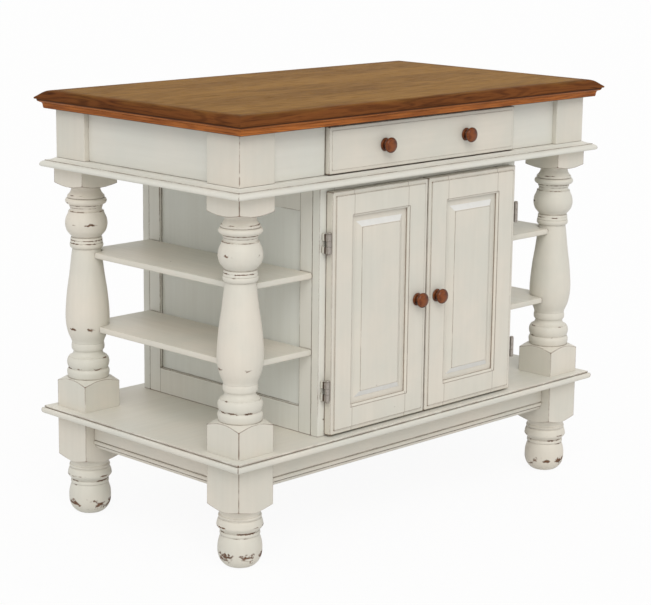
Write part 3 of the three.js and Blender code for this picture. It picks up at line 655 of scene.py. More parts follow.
# %% Group: worktop stain
def stain_top(where, half_length, half_depth, fade):
    """How near the border a place is, and coordinates along the grain of the nearest side."""
    axes = outputs("SeparateXYZ", where)
    wander = between(noise(where, 9.0, 3.0), 0.3, 0.7, -7 * MM, 7 * MM)
    x_out = abs(axes["X"]) - half_length
    y_out = abs(axes["Y"]) - half_depth
    nearest = (x_out > y_out, where, across_grain(where))
    return {
        "Border": between(greatest(x_out, y_out) + wander, fade * -1.0, fade),
        "Side Grain": result("Mix", *nearest, data_type="VECTOR"),
    }


worktop_stain = shader_group(
    "worktop stain", stain_top, where=ANYWHERE, half_length=0.53, half_depth=0.2875, fade=0.02
)

# %% [markdown]
# ### The two oak materials
#
# Both mix a golden and a dark version of the same oak by the stain group's answer. The finish is
# rubbed out to a low sheen, so it mirrors little even at a low angle.

# %% Materials: worktop oak
OAK_LIGHT = (0.33, 0.172, 0.04, 1)
OAK_DARK = (0.13, 0.056, 0.012, 1)
STAIN_LIGHT = (0.19, 0.067, 0.021, 1)
STAIN_DARK = (0.04, 0.014, 0.008, 1)
RUBBED_OUT = 0.001
OAK_RELIEF = 0.12 * MM
field_half = {"half_length": field_x, "half_depth": field_y}


def worktop_oak(name, border, seed):
    """The field's oak, or the border's, whose grain turns at the mitres."""
    material, where = new_material(name)
    stain = worktop_stain(where, fade=0.022, **field_half)
    grain = vector("ADD", stain["Side Grain"] if border else where, (seed, seed, 0.0))
    golden = oak_grain(grain, light=OAK_LIGHT, dark=OAK_DARK)
    dark = oak_grain(grain, light=STAIN_LIGHT, dark=STAIN_DARK)
    colour = blend(stain["Border"], golden["Colour"], dark["Colour"])
    return finished(material, golden, OAK_RELIEF, colour, specular_ior_level=RUBBED_OUT)


oak_field = worktop_oak("oak field", False, 0.31)
oak_border = worktop_oak("oak border", True, 0.11)
print("materials:", oak_field.name, "and", oak_border.name)

# %% [markdown]
# ### The moulding under the border
#
# It is the same oak under a redder stain. Painted shade darkens it: in its quirks through the
# glaze group, under the border's lip as a painted shadow, and along its lower edge, which faces
# down. Its grain turns at the mitres as the border's does.

# %% Material: under-moulding
REDDISH = {"light": (0.5, 0.17, 0.042, 1), "dark": (0.16, 0.042, 0.012, 1)}
UNDER_PAINTED_SHADE = (0.03, 0.012, 0.006, 1)


def under_moulding_oak():
    """Orange-brown oak with painted shade in its quirks, under the border's lip and along its
    lower edge.
    """
    material, where = new_material("under-moulding oak")
    stain = worktop_stain(where, fade=0.02, **field_half)
    wood = oak_grain(stain["Side Grain"], board_width=5 * MM, **REDDISH)
    outside = openness(where, 5 * MM)
    painted_crease_shade = quirk_glaze_and_shade(where, outside=outside, strength=1.5)["Glaze"]
    drop = under_top - outputs("SeparateXYZ", where)["Z"]
    # Painted shadow of the border's lip at the top, and painted shade along the lower edge, which
    # faces down.
    high = between(drop, 5 * MM, 1.5 * MM, 0.0, 0.85)
    low = between(drop, 17.4 * MM, 18.6 * MM, 0.0, 0.85)
    colour = blend(greatest(painted_crease_shade, greatest(high, low)), wood["Colour"], UNDER_PAINTED_SHADE)
    return finished(material, wood, OAK_RELIEF, colour, specular_ior_level=0.05)


oak_under = under_moulding_oak()
print("material:", oak_under.name)

# %% [markdown]
# ### Knobs, hinges and bare wood
#
# The knobs are turned cherry under a glossy finish, with painted shade at their waist and towards
# their rim. The hinges are steel with a dark bronze finish: a pale bronze on the barrel is a
# painted reflection, and the darker leaf behind it is painted shade. The drawer box, its runners
# and the inner shelf are plain sanded wood.

# %% Material: cherry
CHERRY = ((0.25, 0.07, 0.017, 1), (0.1, 0.024, 0.007, 1))
CHERRY_CREASE_SHADE = (0.02, 0.008, 0.005, 1)
CHERRY_RIM_SHADE = (0.035, 0.01, 0.005, 1)


def turned_cherry(name, middle):
    """Reddish wood turned about a line along Y through middle."""
    material, where = new_material(name)
    own = vector("SUBTRACT", where, tuple(middle))
    fine = noise(stretched(own, (0.25, 1.0, 1.0)), 420.0, 3.0, 0.6)
    colour = blend(between(fine + noise(own, 60.0, 2.0), 0.7, 1.3), *CHERRY)
    # Painted shade where the knob is closed in, at its waist and by the door.
    outside = openness(where, 12 * MM)
    painted_crease_shade = quirk_glaze_and_shade(own, outside=outside, strength=1.3)["Glaze"]
    colour = blend(painted_crease_shade, colour, CHERRY_CREASE_SHADE)
    # Painted shade: the knob darkens towards its rim, where it is seen edge-on.
    facing = outputs("LayerWeight", 0.35, tree=material.node_tree)["Facing"]
    colour = blend(between(facing, 0.15, 0.75, 0.0, 0.85), colour, CHERRY_RIM_SHADE)
    look = {"Roughness": between(fine, 0.2, 0.8, 0.22, 0.36), "Height": fine}
    coat = {"coat_weight": 0.22, "coat_roughness": 0.1}
    return finished(material, look, 0.03 * MM, colour, specular_ior_level=0.12, **coat)


print("cherry is ready to be given to each knob")

# %% Materials: bronze and bare wood
BRONZE_PAINTED_SHEEN = ((0.5, 0.46, 0.42, 1), (0.22, 0.19, 0.16, 1))
BRONZE_PAINTED_SHADE = ((0.06, 0.036, 0.024, 1), (0.1, 0.06, 0.04, 1))
BARE_WOOD = {"light": (0.64, 0.46, 0.28, 1), "dark": (0.42, 0.27, 0.14, 1)}


def bronze_with_painted_light(name, pin):
    """A dark metal finish, pale on a barrel round an upright pin as a painted reflection, and
    darker behind the pin and in the gaps between its knuckles as painted shade.

    What lies more than 9 mm behind the pin is painted over with the frame.
    """
    material, where = new_material(name)
    depth = outputs("SeparateXYZ", vector("SUBTRACT", where, tuple(pin)))["Y"]
    painted = depth > 9 * MM
    outside = openness(where, 3 * MM)
    painted_crease_shade = quirk_glaze_and_shade(where, outside=outside, strength=0.9)["Glaze"]
    cloud = noise(where, 240.0, 3.0, 0.6)
    # Painted shade behind the barrel and in its gaps; the rest gets the pale bronze as a painted
    # reflection.
    shaded = greatest(between(depth, 3 * MM, 5 * MM), painted_crease_shade)
    colour = blend(shaded, blend(cloud, *BRONZE_PAINTED_SHEEN), blend(cloud, *BRONZE_PAINTED_SHADE))
    colour = blend(painted, colour, WHITE_GREEN)
    look = {"Roughness": between(cloud, 0.2, 0.8, 0.32, 0.5), "Height": cloud}
    return finished(material, look, 0.05 * MM, colour, metallic=(1.0 - painted) * 0.6)


def bare_wood():
    """Sanded wood with its grain along Y."""
    material, where = new_material("bare wood")
    wood = oak_grain(across_grain(where), pore_depth=0.4, **BARE_WOOD)
    return finished(material, {**wood, "Roughness": wood["Roughness"] + 0.3}, 0.08 * MM)


joints = behaviour["joints"]
hinge_places = {j["name"]: Vector(j["pos_m"]) for j in joints if j["type"] == "hinge"}
bronze = {
    name: bronze_with_painted_light("bronze at the " + name.replace("_", " "), pin)
    for name, pin in hinge_places.items()
}
bare = bare_wood()
print("materials:", [m.name for m in bronze.values()], "and", bare.name)

# %% [markdown]
# ## Light, floor and background
#
# A catalogue picture is lit by a big soft light in front and above, and by white walls all round.
# A wide sun and an even world give that. The camera, and anything that mirrors the surroundings,
# sees the world as plain white, while the light that it casts is weaker. The floor does the same
# and still keeps a part of the shadow.

# %% Light and world
WORLD_LIGHT = 0.68
SUN_STRENGTH = 1.25
SUN_ANGLE = math.radians(40)
SUN_FROM = Vector((-0.48, -0.58, 0.66))


def seen_directly(tree):
    """1 for rays from the camera, from gloss and through glass."""
    rays = outputs("LightPath", tree=tree)
    either = greatest(rays["Is Camera Ray"], rays["Is Glossy Ray"])
    return greatest(either, rays["Is Transmission Ray"])


scene.view_settings.view_transform = "Standard"
world = bpy.data.worlds.new("studio")
world.use_nodes = True
scene.world = world
sky = world.node_tree
strength = between(seen_directly(sky), 0.0, 1.0, WORLD_LIGHT, 1.0)
feed(sky.nodes["Background"], {"Color": (1.0, 0.995, 0.985, 1), "Strength": strength})

sun = bpy.data.lights.new("sun", "SUN")
sun.energy = SUN_STRENGTH
sun.angle = SUN_ANGLE
sun.color = (1.0, 0.98, 0.95)
add_object("sun", sun).rotation_euler = SUN_FROM.to_track_quat("Z", "Y").to_euler()
print("sun from", [round(v, 2) for v in SUN_FROM.normalized()])

# %% Floor
FLOOR_WHITE = 0.93
FLOOR_SIZE = 30.0

floor_material = bpy.data.materials.new("studio floor")
floor_material.use_nodes = True
tree = floor_material.node_tree
tree.nodes.remove(tree.nodes["Principled BSDF"])
matt = result("BsdfDiffuse", (0.86, 0.86, 0.86, 1), tree=tree)
glow = result("Emission", (1, 1, 1, 1), 1.0, tree=tree)
mixed = result("MixShader", seen_directly(tree) * FLOOR_WHITE, matt, glow)
feed(tree.nodes["Material Output"], {"Surface": mixed})

shape = bmesh.new()
bmesh.ops.create_grid(shape, x_segments=1, y_segments=1, size=FLOOR_SIZE)
floor = add_object("studio_floor", mesh_of("studio_floor", shape))
floor.data.materials.append(floor_material)
floor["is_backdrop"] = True
print("floor:", 2 * FLOOR_SIZE, "m wide")

# %% [markdown]
# ## Shapes
#
# ### Softened boards
#
# Many parts of the frame already have the right shape, but perfectly sharp arrises, which catch
# no light. This helper copies a part's mesh, joins its triangles into whole faces, and bevels
# every arris a little.

# %% Softened boards
SOFT = 0.7 * MM
FLAT = math.radians(1)


def round_edges(shape, edges, width, segments=2):
    """Rounds some edges of a shape."""
    settings = {"profile": 0.5, "affect": "EDGES", "clamp_overlap": True}
    bmesh.ops.bevel(shape, geom=edges, offset=width, segments=segments, **settings)


def softened(node, material, width=SOFT, segments=2):
    """A copy of a node of the frame with rounded arrises, in its place."""
    shape = bmesh.new()
    shape.from_mesh(frame["nodes"][node].data)
    bmesh.ops.remove_doubles(shape, verts=shape.verts, dist=0.01 * MM)
    bmesh.ops.dissolve_limit(shape, angle_limit=FLAT, verts=shape.verts, edges=shape.edges)
    arrises = [e for e in shape.edges if e.calc_face_angle(0.0) > SHARP]
    round_edges(shape, arrises, width, segments)
    make_piece(node, shape, material)


print("arrises are rounded by", SOFT, "m")

# %% [markdown]
# ### Mitred mouldings
#
# The worktop's border, the ledge, the deck and the doors are all a moulding that runs round a
# rectangle and is mitred at the corners. Each point of the outline gives a rectangle, and the
# rectangles are joined one after another. A frame joins its last rectangle to its first, and a
# board closes the two with flat faces.

# %% Mitred mouldings
MITRE_ROUND = 0.6 * MM


def rectangle(half_u, half_v, height, corner):
    """The points of a rectangle with rounded corners, in order round it."""
    points = []
    for su, sv, start in ((1, -1, -90), (1, 1, 0), (-1, 1, 90), (-1, -1, 180)):
        for step in range(4):
            angle = math.radians(start + 30 * step)
            u = su * (half_u - corner) + corner * math.cos(angle)
            v = sv * (half_v - corner) + corner * math.sin(angle)
            points.append(Vector((u, v, height)))
    return points


def mitred(levels, is_frame, stand=None, corner=MITRE_ROUND):
    """A moulding round a rectangle, from (half length, half depth, height) levels."""
    shape = bmesh.new()
    stand = stand or Matrix.Identity(4)
    rows = []
    for half_u, half_v, height in levels:
        points = rectangle(half_u, half_v, height, corner)
        rows.append([shape.verts.new(stand @ point) for point in points])
    bands = len(rows) if is_frame else len(rows) - 1
    for i in range(bands):
        upper = rows[i]
        lower = rows[(i + 1) % len(rows)]
        for k in range(len(upper)):
            n = (k + 1) % len(upper)
            shape.faces.new((upper[k], lower[k], lower[n], upper[n]))
    if not is_frame:
        shape.faces.new(rows[0])
        shape.faces.new(rows[-1][::-1])
    return shape


def levels_of(outline, half_u, half_v, top):
    """Levels from an outline of (distance in from the outermost line, drop), in mm."""
    return [
        (half_u - inset * MM, half_v - inset * MM, top - drop * MM)
        for inset, drop in outline.points
    ]


print("a mitred moulding has", len(rectangle(1, 1, 0, 0.1)), "points at each level")

# %% [markdown]
# ### The worktop
#
# The border falls from the field in a long round, turns hollow and ends in a thin lip. The field
# is a plain board that meets the border edge to edge.

# %% Worktop
field_levels = [
    (field_x - 0.4 * MM, field_y - 0.4 * MM, top_level),
    (field_x, field_y, top_level - 0.15 * MM),
    (field_x, field_y, lip_level),
]
make_piece("top_board", mitred(field_levels, False), oak_field)

border_outline = (
    Outline((30.3, 0.15), (29.6, 0))
    .curve((25, 0.4), (19, 1.9), (13.5, 4.8), (9.2, 8.1), (5.2, 11.3), (2.2, 13.5), (0.5, 14.7))
    .to((0.12574, 15.19792), (0, 16.4), (0.19645, 17.60208), (0.6, 18.1), (30.3, 18.3))
)
border_levels = levels_of(border_outline, lip_x, lip_y, top_level)
make_piece("top_edge", mitred(border_levels, True), oak_border)
print("border:", len(border_levels), "levels")

# %% [markdown]
# ### The moulding under the border
#
# The same helper makes the under-moulding. It has to leave room for the four corner blocks, so
# four boxes are cut out of it. A Boolean modifier does that: it is set up on a passing object,
# its result is read back, and the passing objects go away.

# %% Cutting and joining shapes
def combined(first, second, operation):
    """The union, intersection or difference of two closed shapes."""
    passing = [add_object("passing", mesh_of("passing", shape)) for shape in (first, second)]
    cutter = passing[0].modifiers.new("cut", "BOOLEAN")
    cutter.operation = operation
    cutter.solver = "EXACT"
    cutter.object = passing[1]
    bpy.context.view_layer.update()
    joined = bmesh.new()
    joined.from_object(passing[0], bpy.context.evaluated_depsgraph_get())
    for thing in passing:
        mesh = thing.data
        bpy.data.objects.remove(thing)
        bpy.data.meshes.remove(mesh)
    return joined


def block(low, high):
    """A closed box between two corners, to cut or join with."""
    shape = bmesh.new()
    bmesh.ops.create_cube(shape, size=1.0)
    low = Vector(low)
    high = Vector(high)
    for vertex in shape.verts:
        ranges = zip(low, high, vertex.co)
        vertex.co = [(start + end) / 2 + at * (end - start) for start, end, at in ranges]
    return shape


# %% Under-moulding
CORNERS = ("front_left", "front_right", "back_left", "back_right")
under_outline = (
    Outline((4, 0), (4, 1.6))
    .curve((5.2, 4), (8, 6), (11, 7))
    .to(
        (11.3, 7.1), (11.3, 8.2), (12.2, 8.5), (13.4, 14.2), (13.0, 14.5), (13.3, 15.3),
        (14.2, 18.7), (14.6, 19), (41.5, 19), (41.5, 0),
    )
)
under_shape = mitred(levels_of(under_outline, lip_x, lip_y, under_top), True, corner=1.0 * MM)
for corner in CORNERS:
    low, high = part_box("apron_block_" + corner)
    margin = Vector((0.3, 0.3, 10)) * MM
    under_shape = combined(under_shape, block(low - margin, high + margin), "DIFFERENCE")
make_piece("top_under_moulding", under_shape, oak_under)
print("under-moulding from", round(under_top - 19 * MM, 4), "to", round(under_top, 4))

# %% [markdown]
# ### The ledge and the deck
#
# Both boards stick out past the posts with a moulded edge. The ledge's is a shallow hollow, a
# small step and a long round. The deck's is a step and a half round. Glaze with painted shade
# stays in the steps, and on the ledge also where other pieces meet it. Both get a share of
# painted fill light.

# %% Ledge and deck
ledge_outline = (
    Outline((25, 0), (24.5, 0.1))
    .curve((20.5, 2.4), (15.5, 4), (8.6, 5.4))
    .to((8.0, 5.6), (8.0, 7), (7, 7.2))
    .curve((4.5, 7.9), (1.5, 10.4), (0, 13.8), (0.5, 17.4), (3, 19.4), (5.5, 20))
)
deck_outline = (
    Outline((8, 0), (7.5, 0.1))
    .curve((6, 0.5), (5.2, 1.3), (4.8, 3), steps=3)
    .to((5.8, 3.6), (5.8, 4.8), (3.2, 4.9))
    .curve(
        (1.6, 5.2), (0.5, 7), (0, 9.6), (0.4, 13.7),
        (2.5, 16.7), (6.5, 18.5), (9.5, 19), steps=3,
    )
)
ledge_white = antique_white("ledge", 1.1, ALONG_X, rub=0.72, glaze=1.3, cool=0.35)
deck_white = antique_white("deck", 2.3, ALONG_X, rub=0.75, glaze=1.4, alone=True, cool=0.2)
for node, outline, level, finish in (
    ("ledge", ledge_outline, ledge_top, ledge_white),
    ("deck", deck_outline, deck_top, deck_white),
):
    levels = levels_of(outline, reach(node, 0), reach(node, 1), level)
    make_piece(node, mitred(levels, False), finish)
    print(node, round(2 * reach(node, 0), 3), "long")

# %% [markdown]
# ### Turned posts
#
# A post starts as a square blank. The lathe leaves its ends square and turns the rest, and where
# it runs into a square end it cuts a round shoulder, which meets the flat faces in four arches.
# To get those arches exactly, each end is made as the lathe does it: a block that is cut by a
# turned form, with the turned core joined on. The outline is read downwards from the ledge.

# %% Turned forms
def turned(outline, sides=72):
    """A closed form round the Z axis, from (radius, height) points that start and end on it."""
    shape = bmesh.new()
    rows = []
    for radius, height in outline:
        angles = [2 * math.pi * k / sides for k in range(sides)] if radius else [0]
        ring = [(radius * math.cos(a), radius * math.sin(a), height) for a in angles]
        rows.append([shape.verts.new(point) for point in ring])
    for lower, upper in zip(rows, rows[1:]):
        for k in range(sides):
            n = (k + 1) % sides
            if len(lower) == 1:
                shape.faces.new((lower[0], upper[n], upper[k]))
            elif len(upper) == 1:
                shape.faces.new((lower[k], lower[n], upper[0]))
            else:
                shape.faces.new((lower[k], lower[n], upper[n], upper[k]))
    return shape


def square_end(half, low, high, cut, softness=1.2 * MM):
    """The square end of a turning: a block with soft arrises, cut to a turned outline."""
    blank = block((-half, -half, low), (half, half, high))
    upright = [e for e in blank.edges if abs(e.verts[0].co.z - e.verts[1].co.z) > MM]
    round_edges(blank, upright, softness, 3)
    return combined(blank, turned(cut), "INTERSECT")


# %% Post outline
block_low, block_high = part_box("apron_block_front_right")
POST_HALF = (block_high.x - block_low.x) / 2
PAST_ARRIS = POST_HALF * math.sqrt(2) / MM + 0.5
VASE_TOP = 172.0
VASE_FOOT = 141.5
post_gap = 0.3 * MM

upper_turning = (
    Outline((31.5, 41.5))
    .curve((30.9, 44.5), (31, 47.5), (33, 52), (35.6, 56), steps=3)
    .to((36.6, 56.8), (36.8, 57.8))
    .curve((38.4, 58.6), (39.3, 60.6), (39, 62.8), steps=3)
    .to((38.2, 63.2), (38.4, 64))
    .curve((41.8, 65.4), (43.8, 70), (42.4, 74.6), (38.4, 77.6), steps=4)
    .to((36.4, 78), (35.6, 79.2))
    .curve((35.2, 81.6), (34.6, 83.6), steps=3)
    .to((33.6, 84.4))
    .curve((33.4, 87.5), (33.8, 90.8), steps=3)
    .to((36.6, 91.6), (37.4, 92.3))
    .curve(
        (38.6, 97.5), (42.6, 106), (44.6, 116.5), (44.1, 125),
        (41, 134.5), (35, 142.4), (31.6, 146),
    )
    .to((31.2, 147.4), (32.8, 148.4), (33.9, 153), (33.2, 154.2))
    .curve((34.2, 157), (34.4, 159.4), steps=3)
    .to((33.8, 160.2))
    .curve((35.2, 162), (35.5, 165), (34.8, 168.4), (33, 170.8), steps=3)
    .to((30.4, 171.6), (30.3, 172))
)
vase_shares = [
    (31.6, 0.048), (32.9, 0.09), (35, 0.176), (37.2, 0.265), (39.8, 0.352), (42.4, 0.437),
    (44.2, 0.519), (45.6, 0.594), (46.6, 0.67), (46.8, 0.724), (46.2, 0.783), (44.6, 0.836),
    (41.8, 0.895), (38, 0.941), (35.3, 0.971), (34, 0.998),
]
lower_turning = (
    Outline((33.6, 141.5), (33.9, 141))
    .curve((34.8, 138), (35.2, 133.5), (34.8, 129), (33.6, 126.4), steps=3)
    .to((32, 125.2))
    .curve((31.3, 123), (31.8, 119.5), (33.8, 116), (37.5, 113), steps=3)
    .to((40.6, 111.6), (40.9, 110.4))
    .curve((43.4, 107.6), (45, 101.5), (44.8, 96), (43.6, 91), steps=4)
    .to((42, 88.2), (41.4, 86.8))
    .curve((43.4, 84.6), (45.2, 80.6), (45.2, 76), (44.6, 72), steps=4)
    .to((43, 66.5))
)
print("post outline:", len(upper_turning.points) + len(lower_turning.points), "points")

# %% Posts
def post_shape():
    """A post round the Z axis, at its real height."""
    top = ledge_bottom - post_gap
    bottom = deck_top + post_gap
    upper = upper_turning.metres(ledge_bottom, -1)
    lower = lower_turning.metres(deck_top)
    vase_top = ledge_bottom - VASE_TOP * MM
    vase_height = vase_top - (deck_top + VASE_FOOT * MM)
    swelling = Outline((30.3, 0.0)).curve(*vase_shares, steps=3)
    vase = [(r * MM, vase_top - share * vase_height) for r, share in swelling.points]
    outline = (upper + vase + lower)[::-1]
    neck_foot, low = outline[0]
    neck, high = outline[-1]
    tenon = 5 * MM
    foot_end = [(0, low - tenon), (neck_foot, low - tenon)]
    core = turned([*foot_end, *outline, (neck, high + tenon), (0, high + tenon)])
    reach_out = PAST_ARRIS * MM
    base_cut = Outline((PAST_ARRIS, 56.3)).curve((57, 60.2), (51, 63.2), (45, 65.8), (43, 66.5))
    base = [(0, bottom), (reach_out, bottom), *base_cut.metres(deck_top), (0, low)]
    head_cut = Outline((31.5, 41.5)).curve((40, 40.2), (48, 38.6), (56, 36), (PAST_ARRIS, 32.8))
    head = [(0, high), *head_cut.metres(ledge_bottom, -1), (reach_out, top), (0, top)]
    shape = combined(core, square_end(POST_HALF, bottom, top, base), "UNION")
    return combined(shape, square_end(POST_HALF, bottom, top, head), "UNION")


def outer_corner(node):
    """The corner of a node's box that is furthest from the middle of the island."""
    return Vector([max(ends, key=abs) for ends in zip(*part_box(node))])


def at_corners(name, shape, seed, **finish):
    """Four copies of a shape round the Z axis, one under each corner of the island."""
    form = mesh_of(name, shape)
    for i, corner in enumerate(CORNERS):
        node = name + "_" + corner
        middle = middle_of(node)
        mesh = form.copy()
        mesh.name = node
        mesh.transform(Matrix.Rotation(math.radians(90 * i), 4, "Z"))
        mesh.transform(Matrix.Translation((middle.x, middle.y, 0)))
        white = antique_white(node, seed + i, corner=outer_corner(node), **finish)
        make_piece(node, mesh, white)
    bpy.data.meshes.remove(form)


def bands_at(level, way, *bands):
    """Sanded bands, (height, spread, cover) in mm, going up from a level or down with -1."""
    return [(level + way * height * MM, spread * MM, cover) for height, spread, cover in bands]


# The narrow bands at 78.8, 84.4 and 91.8 mm below the ledge draw thin dark lines in the creases
# under the beads.
post_bands = bands_at(
    ledge_bottom, -1, (57.5, 0.8, 0.45), (78.8, 0.8, 0.8), (84.4, 0.5, 0.7), (91.8, 0.6, 0.5),
    (117, 3, 0.36), (153.6, 1.4, 0.5), (160, 1.4, 0.4),
) + bands_at(deck_top, 1, (175, 4, 0.36), (88, 2.2, 0.5), (111, 1.2, 0.35))
post_finish = {"rub": 0.8, "patch": 22.0, "glaze": 1.4, "alone": True}
post_ends = (deck_top, ledge_bottom)
at_corners("post", post_shape(), 3.0, bands=post_bands, ends=post_ends, **post_finish)
print("posts: 4")

# %% [markdown]
# ### Bun feet
#
# The feet are turned in the same way, with one square end on top.

# %% Feet
foot_turning = (
    Outline((0, 0), (20, 0))
    .curve((27.5, 2), (34.5, 7), (40.8, 15.5), (44.4, 26), (45.3, 38), (44.3, 50), (41.8, 60))
    .to((39.6, 65.6), (39.2, 66.6))
    .curve((40.8, 68.4), (41, 71.4), (40, 74.4))
    .to((39, 75.2), (38.9, 76.2))
    .curve((42.8, 80), (46.4, 84.4))
    .to((47.4, 86.6), (47.2, 88.2))
    .curve((46.4, 93), (45.2, 97.4), (43.4, 101))
    .to((42.4, 101.6), (42.2, 103.2))
    .curve((43.4, 104.2), (43.9, 106.4), (43, 108.6), steps=3)
    .to((41.4, 109.2))
    .curve((41, 110.4), (40.8, 112), steps=3)
)


def foot_shape():
    """A foot round the Z axis, standing on the floor."""
    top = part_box("foot_front_right")[1].z
    outline = foot_turning.metres()
    neck, high = outline[-1]
    core = turned([*outline, (neck, high + 5 * MM), (0, high + 5 * MM)])
    cut = Outline((40.8, 112)).curve((43.5, 117.5), (52, 123), (PAST_ARRIS, 129))
    cut = [(0, high), *cut.metres(), (PAST_ARRIS * MM, top), (0, top)]
    return combined(core, square_end(POST_HALF, 0.1, top, cut), "UNION")


foot_bands = bands_at(0, 1, (25, 10, 0.5), (66.5, 1.4, 0.4), (76, 2, 0.5), (87.5, 1.5, 0.4))
at_corners("foot", foot_shape(), 8.0, bands=foot_bands, **post_finish)
print("feet: 4")

# %% [markdown]
# ### Base rails
#
# A moulded rail runs between the feet on each side. It is one outline, drawn out straight.

# %% Base rails
def drawn_out(outline, start, end, stand):
    """A closed outline of (across, up) points, drawn out along the third axis, and stood up."""
    shape = bmesh.new()
    rows = []
    for along in (start, end):
        rows.append([shape.verts.new(stand @ Vector((along, u, v))) for u, v in outline])
    count = len(outline)
    for k in range(count):
        n = (k + 1) % count
        shape.faces.new((rows[0][k], rows[0][n], rows[1][n], rows[1][k]))
    shape.faces.new(rows[0][::-1])
    shape.faces.new(rows[1])
    return shape


rail_outline = (
    Outline((0.2, 0), (0, 0.2), (0, 42.2), (0.3, 42.6), (1.6, 42.9), (1.6, 44.3))
    .curve((-0.4, 45.2), (-1.8, 47.6), (-1.8, 50.3), (-0.5, 52.3))
    .to((3.2, 52.8), (3.3, 54.2), (2.4, 54.6))
    .curve((3.2, 57), (4.8, 59.6), (5.8, 61.3))
    .to((6, 61.5), (18, 61.5), (18, 0))
)
rail_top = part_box("base_rail_front")[1].z
for i, (side, turn) in enumerate((("front", 0), ("right", 90), ("back", 180), ("left", 270))):
    node = "base_rail_" + side
    low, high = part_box(node)
    is_long = side in ("front", "back")
    half = high.x if is_long else high.y
    face = (reach(node, 1) if is_long else reach(node, 0)) - 1.8 * MM
    stand = Matrix.Rotation(math.radians(turn), 4, "Z")
    points = [(-face + inset * MM, rail_top - drop * MM) for inset, drop in rail_outline.points]
    shape = drawn_out(points, -half, half, stand)
    brush = ALONG_X if is_long else ALONG_Y
    make_piece(node, shape, antique_white(node, 12.0 + i, brush, rub=0.65, glaze=1.3))
print("base rails: 4")

# %% [markdown]
# ### Apron, cupboard and shelves
#
# These are plain boards and frames, so the softened copy of each is enough. Each gets its own
# paint, brushed along its length, and the frames get their joint lines. The apron rails and the
# cupboard's frames and panels also get a lighter, cooler white as painted fill light.

# %% Painted boards
for i, corner in enumerate(CORNERS):
    node = "apron_block_" + corner
    low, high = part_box(node)
    edges = {"ends": (low.z,), "corner": outer_corner(node)}
    softened(node, antique_white(node, 16.0 + i, rub=0.6, alone=True, **edges), 0.8 * MM, 3)
for i, side in enumerate(("left", "right", "front", "back")):
    node = "apron_rail_" + side
    brush = ALONG_Y if side in ("left", "right") else ALONG_X
    softened(node, antique_white(node, 20.0 + i, brush, alone=True, cool=0.35))
for i, end in enumerate(("left_lower", "left_upper", "right_lower", "right_upper")):
    node = "end_shelf_" + end
    softened(node, antique_white(node, 24.0 + i, ALONG_Y, alone=True))
print("apron and shelves: 12 boards")

# %% Frames and panels of the cupboard
bay_middle = (ledge_bottom + deck_top) / 2
bay_half = (ledge_bottom - deck_top) / 2
side_opening = bay_half - 56.3 * MM
face_opening = bay_half - 30.3 * MM
framed = {
    "cabinet_side_frame_left": ("Y", 217.7 * MM, side_opening),
    "cabinet_side_frame_right": ("Y", 217.7 * MM, side_opening),
    "cabinet_back_frame": ("X", 247 * MM, side_opening),
    "face_frame": ("X", 263 * MM, face_opening),
}
for i, (node, (axis, line, opening)) in enumerate(framed.items()):
    joint = (axis, 0.0, line, bay_middle, opening)
    softened(node, antique_white(node, 30.0 + i, rub=0.6, joint=joint, cool=0.45))
for i, name in enumerate(("side_panel_left", "side_panel_right", "back_panel")):
    node = "cabinet_" + name
    softened(node, antique_white(node, 35.0 + i, rub=0.3, cool=0.8))
softened("cabinet_shelf", bare)
print("cupboard frames:", len(framed))

# %% [markdown]
# ### Doors
#
# A door is a frame round a raised panel. The outline of the frame, read outwards over its face,
# has a small step that makes a rim, then goes round the edge and back under, past the panel's
# groove. The panel has a flat field, a small step and a bevel that runs into the groove. Both are
# drawn lying down, and stood up to face the front.

# %% Doors
FACING_FRONT = Matrix.Rotation(math.radians(90), 4, "X")
DOOR_STILE = 61.0
DOOR_RAIL = 55.0
DOOR_THICK = 20.0
PANEL_BEVEL = 32.7

door_frame_outline = (
    Outline(
        (DOOR_STILE - 4.8, 0), (9.3, 0), (8.7, 0.4), (8.4, 2.1), (8.0, 2.5), (1.7, 2.5),
        (0.7, 2.8), (0.1, 3.6), (0, 4.4), (0, DOOR_THICK - 0.5), (0.5, DOOR_THICK),
        (DOOR_STILE, DOOR_THICK), (DOOR_STILE, 13.3), (DOOR_STILE - 9, 13.3),
        (DOOR_STILE - 9, 6.7), (DOOR_STILE, 6.7), (DOOR_STILE, 5.8),
    )
    .curve((60.5, 3.9), (59.3, 2.3), (57.2, 1.3), steps=2)
    .to((DOOR_STILE - 4.6, 1.1))
)
door_panel_outline = Outline(
    (33.7, 1), (33.2, 1.2), (33, 2), (PANEL_BEVEL, 2.2), (20.4, 8.3), (19.4, 8.6), (9.2, 8.6),
    (8.4, 7), (0, 7), (0, 13),
)


def standing(node, thickness):
    """Half width, half height, face and matrix to stand a lying shape in a node's place."""
    low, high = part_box(node)
    middle = middle_of(node)
    stand = Matrix.Translation((middle.x, high.y, middle.z)) @ FACING_FRONT
    return (high.x - low.x) / 2, (high.z - low.z) / 2, thickness * MM, stand


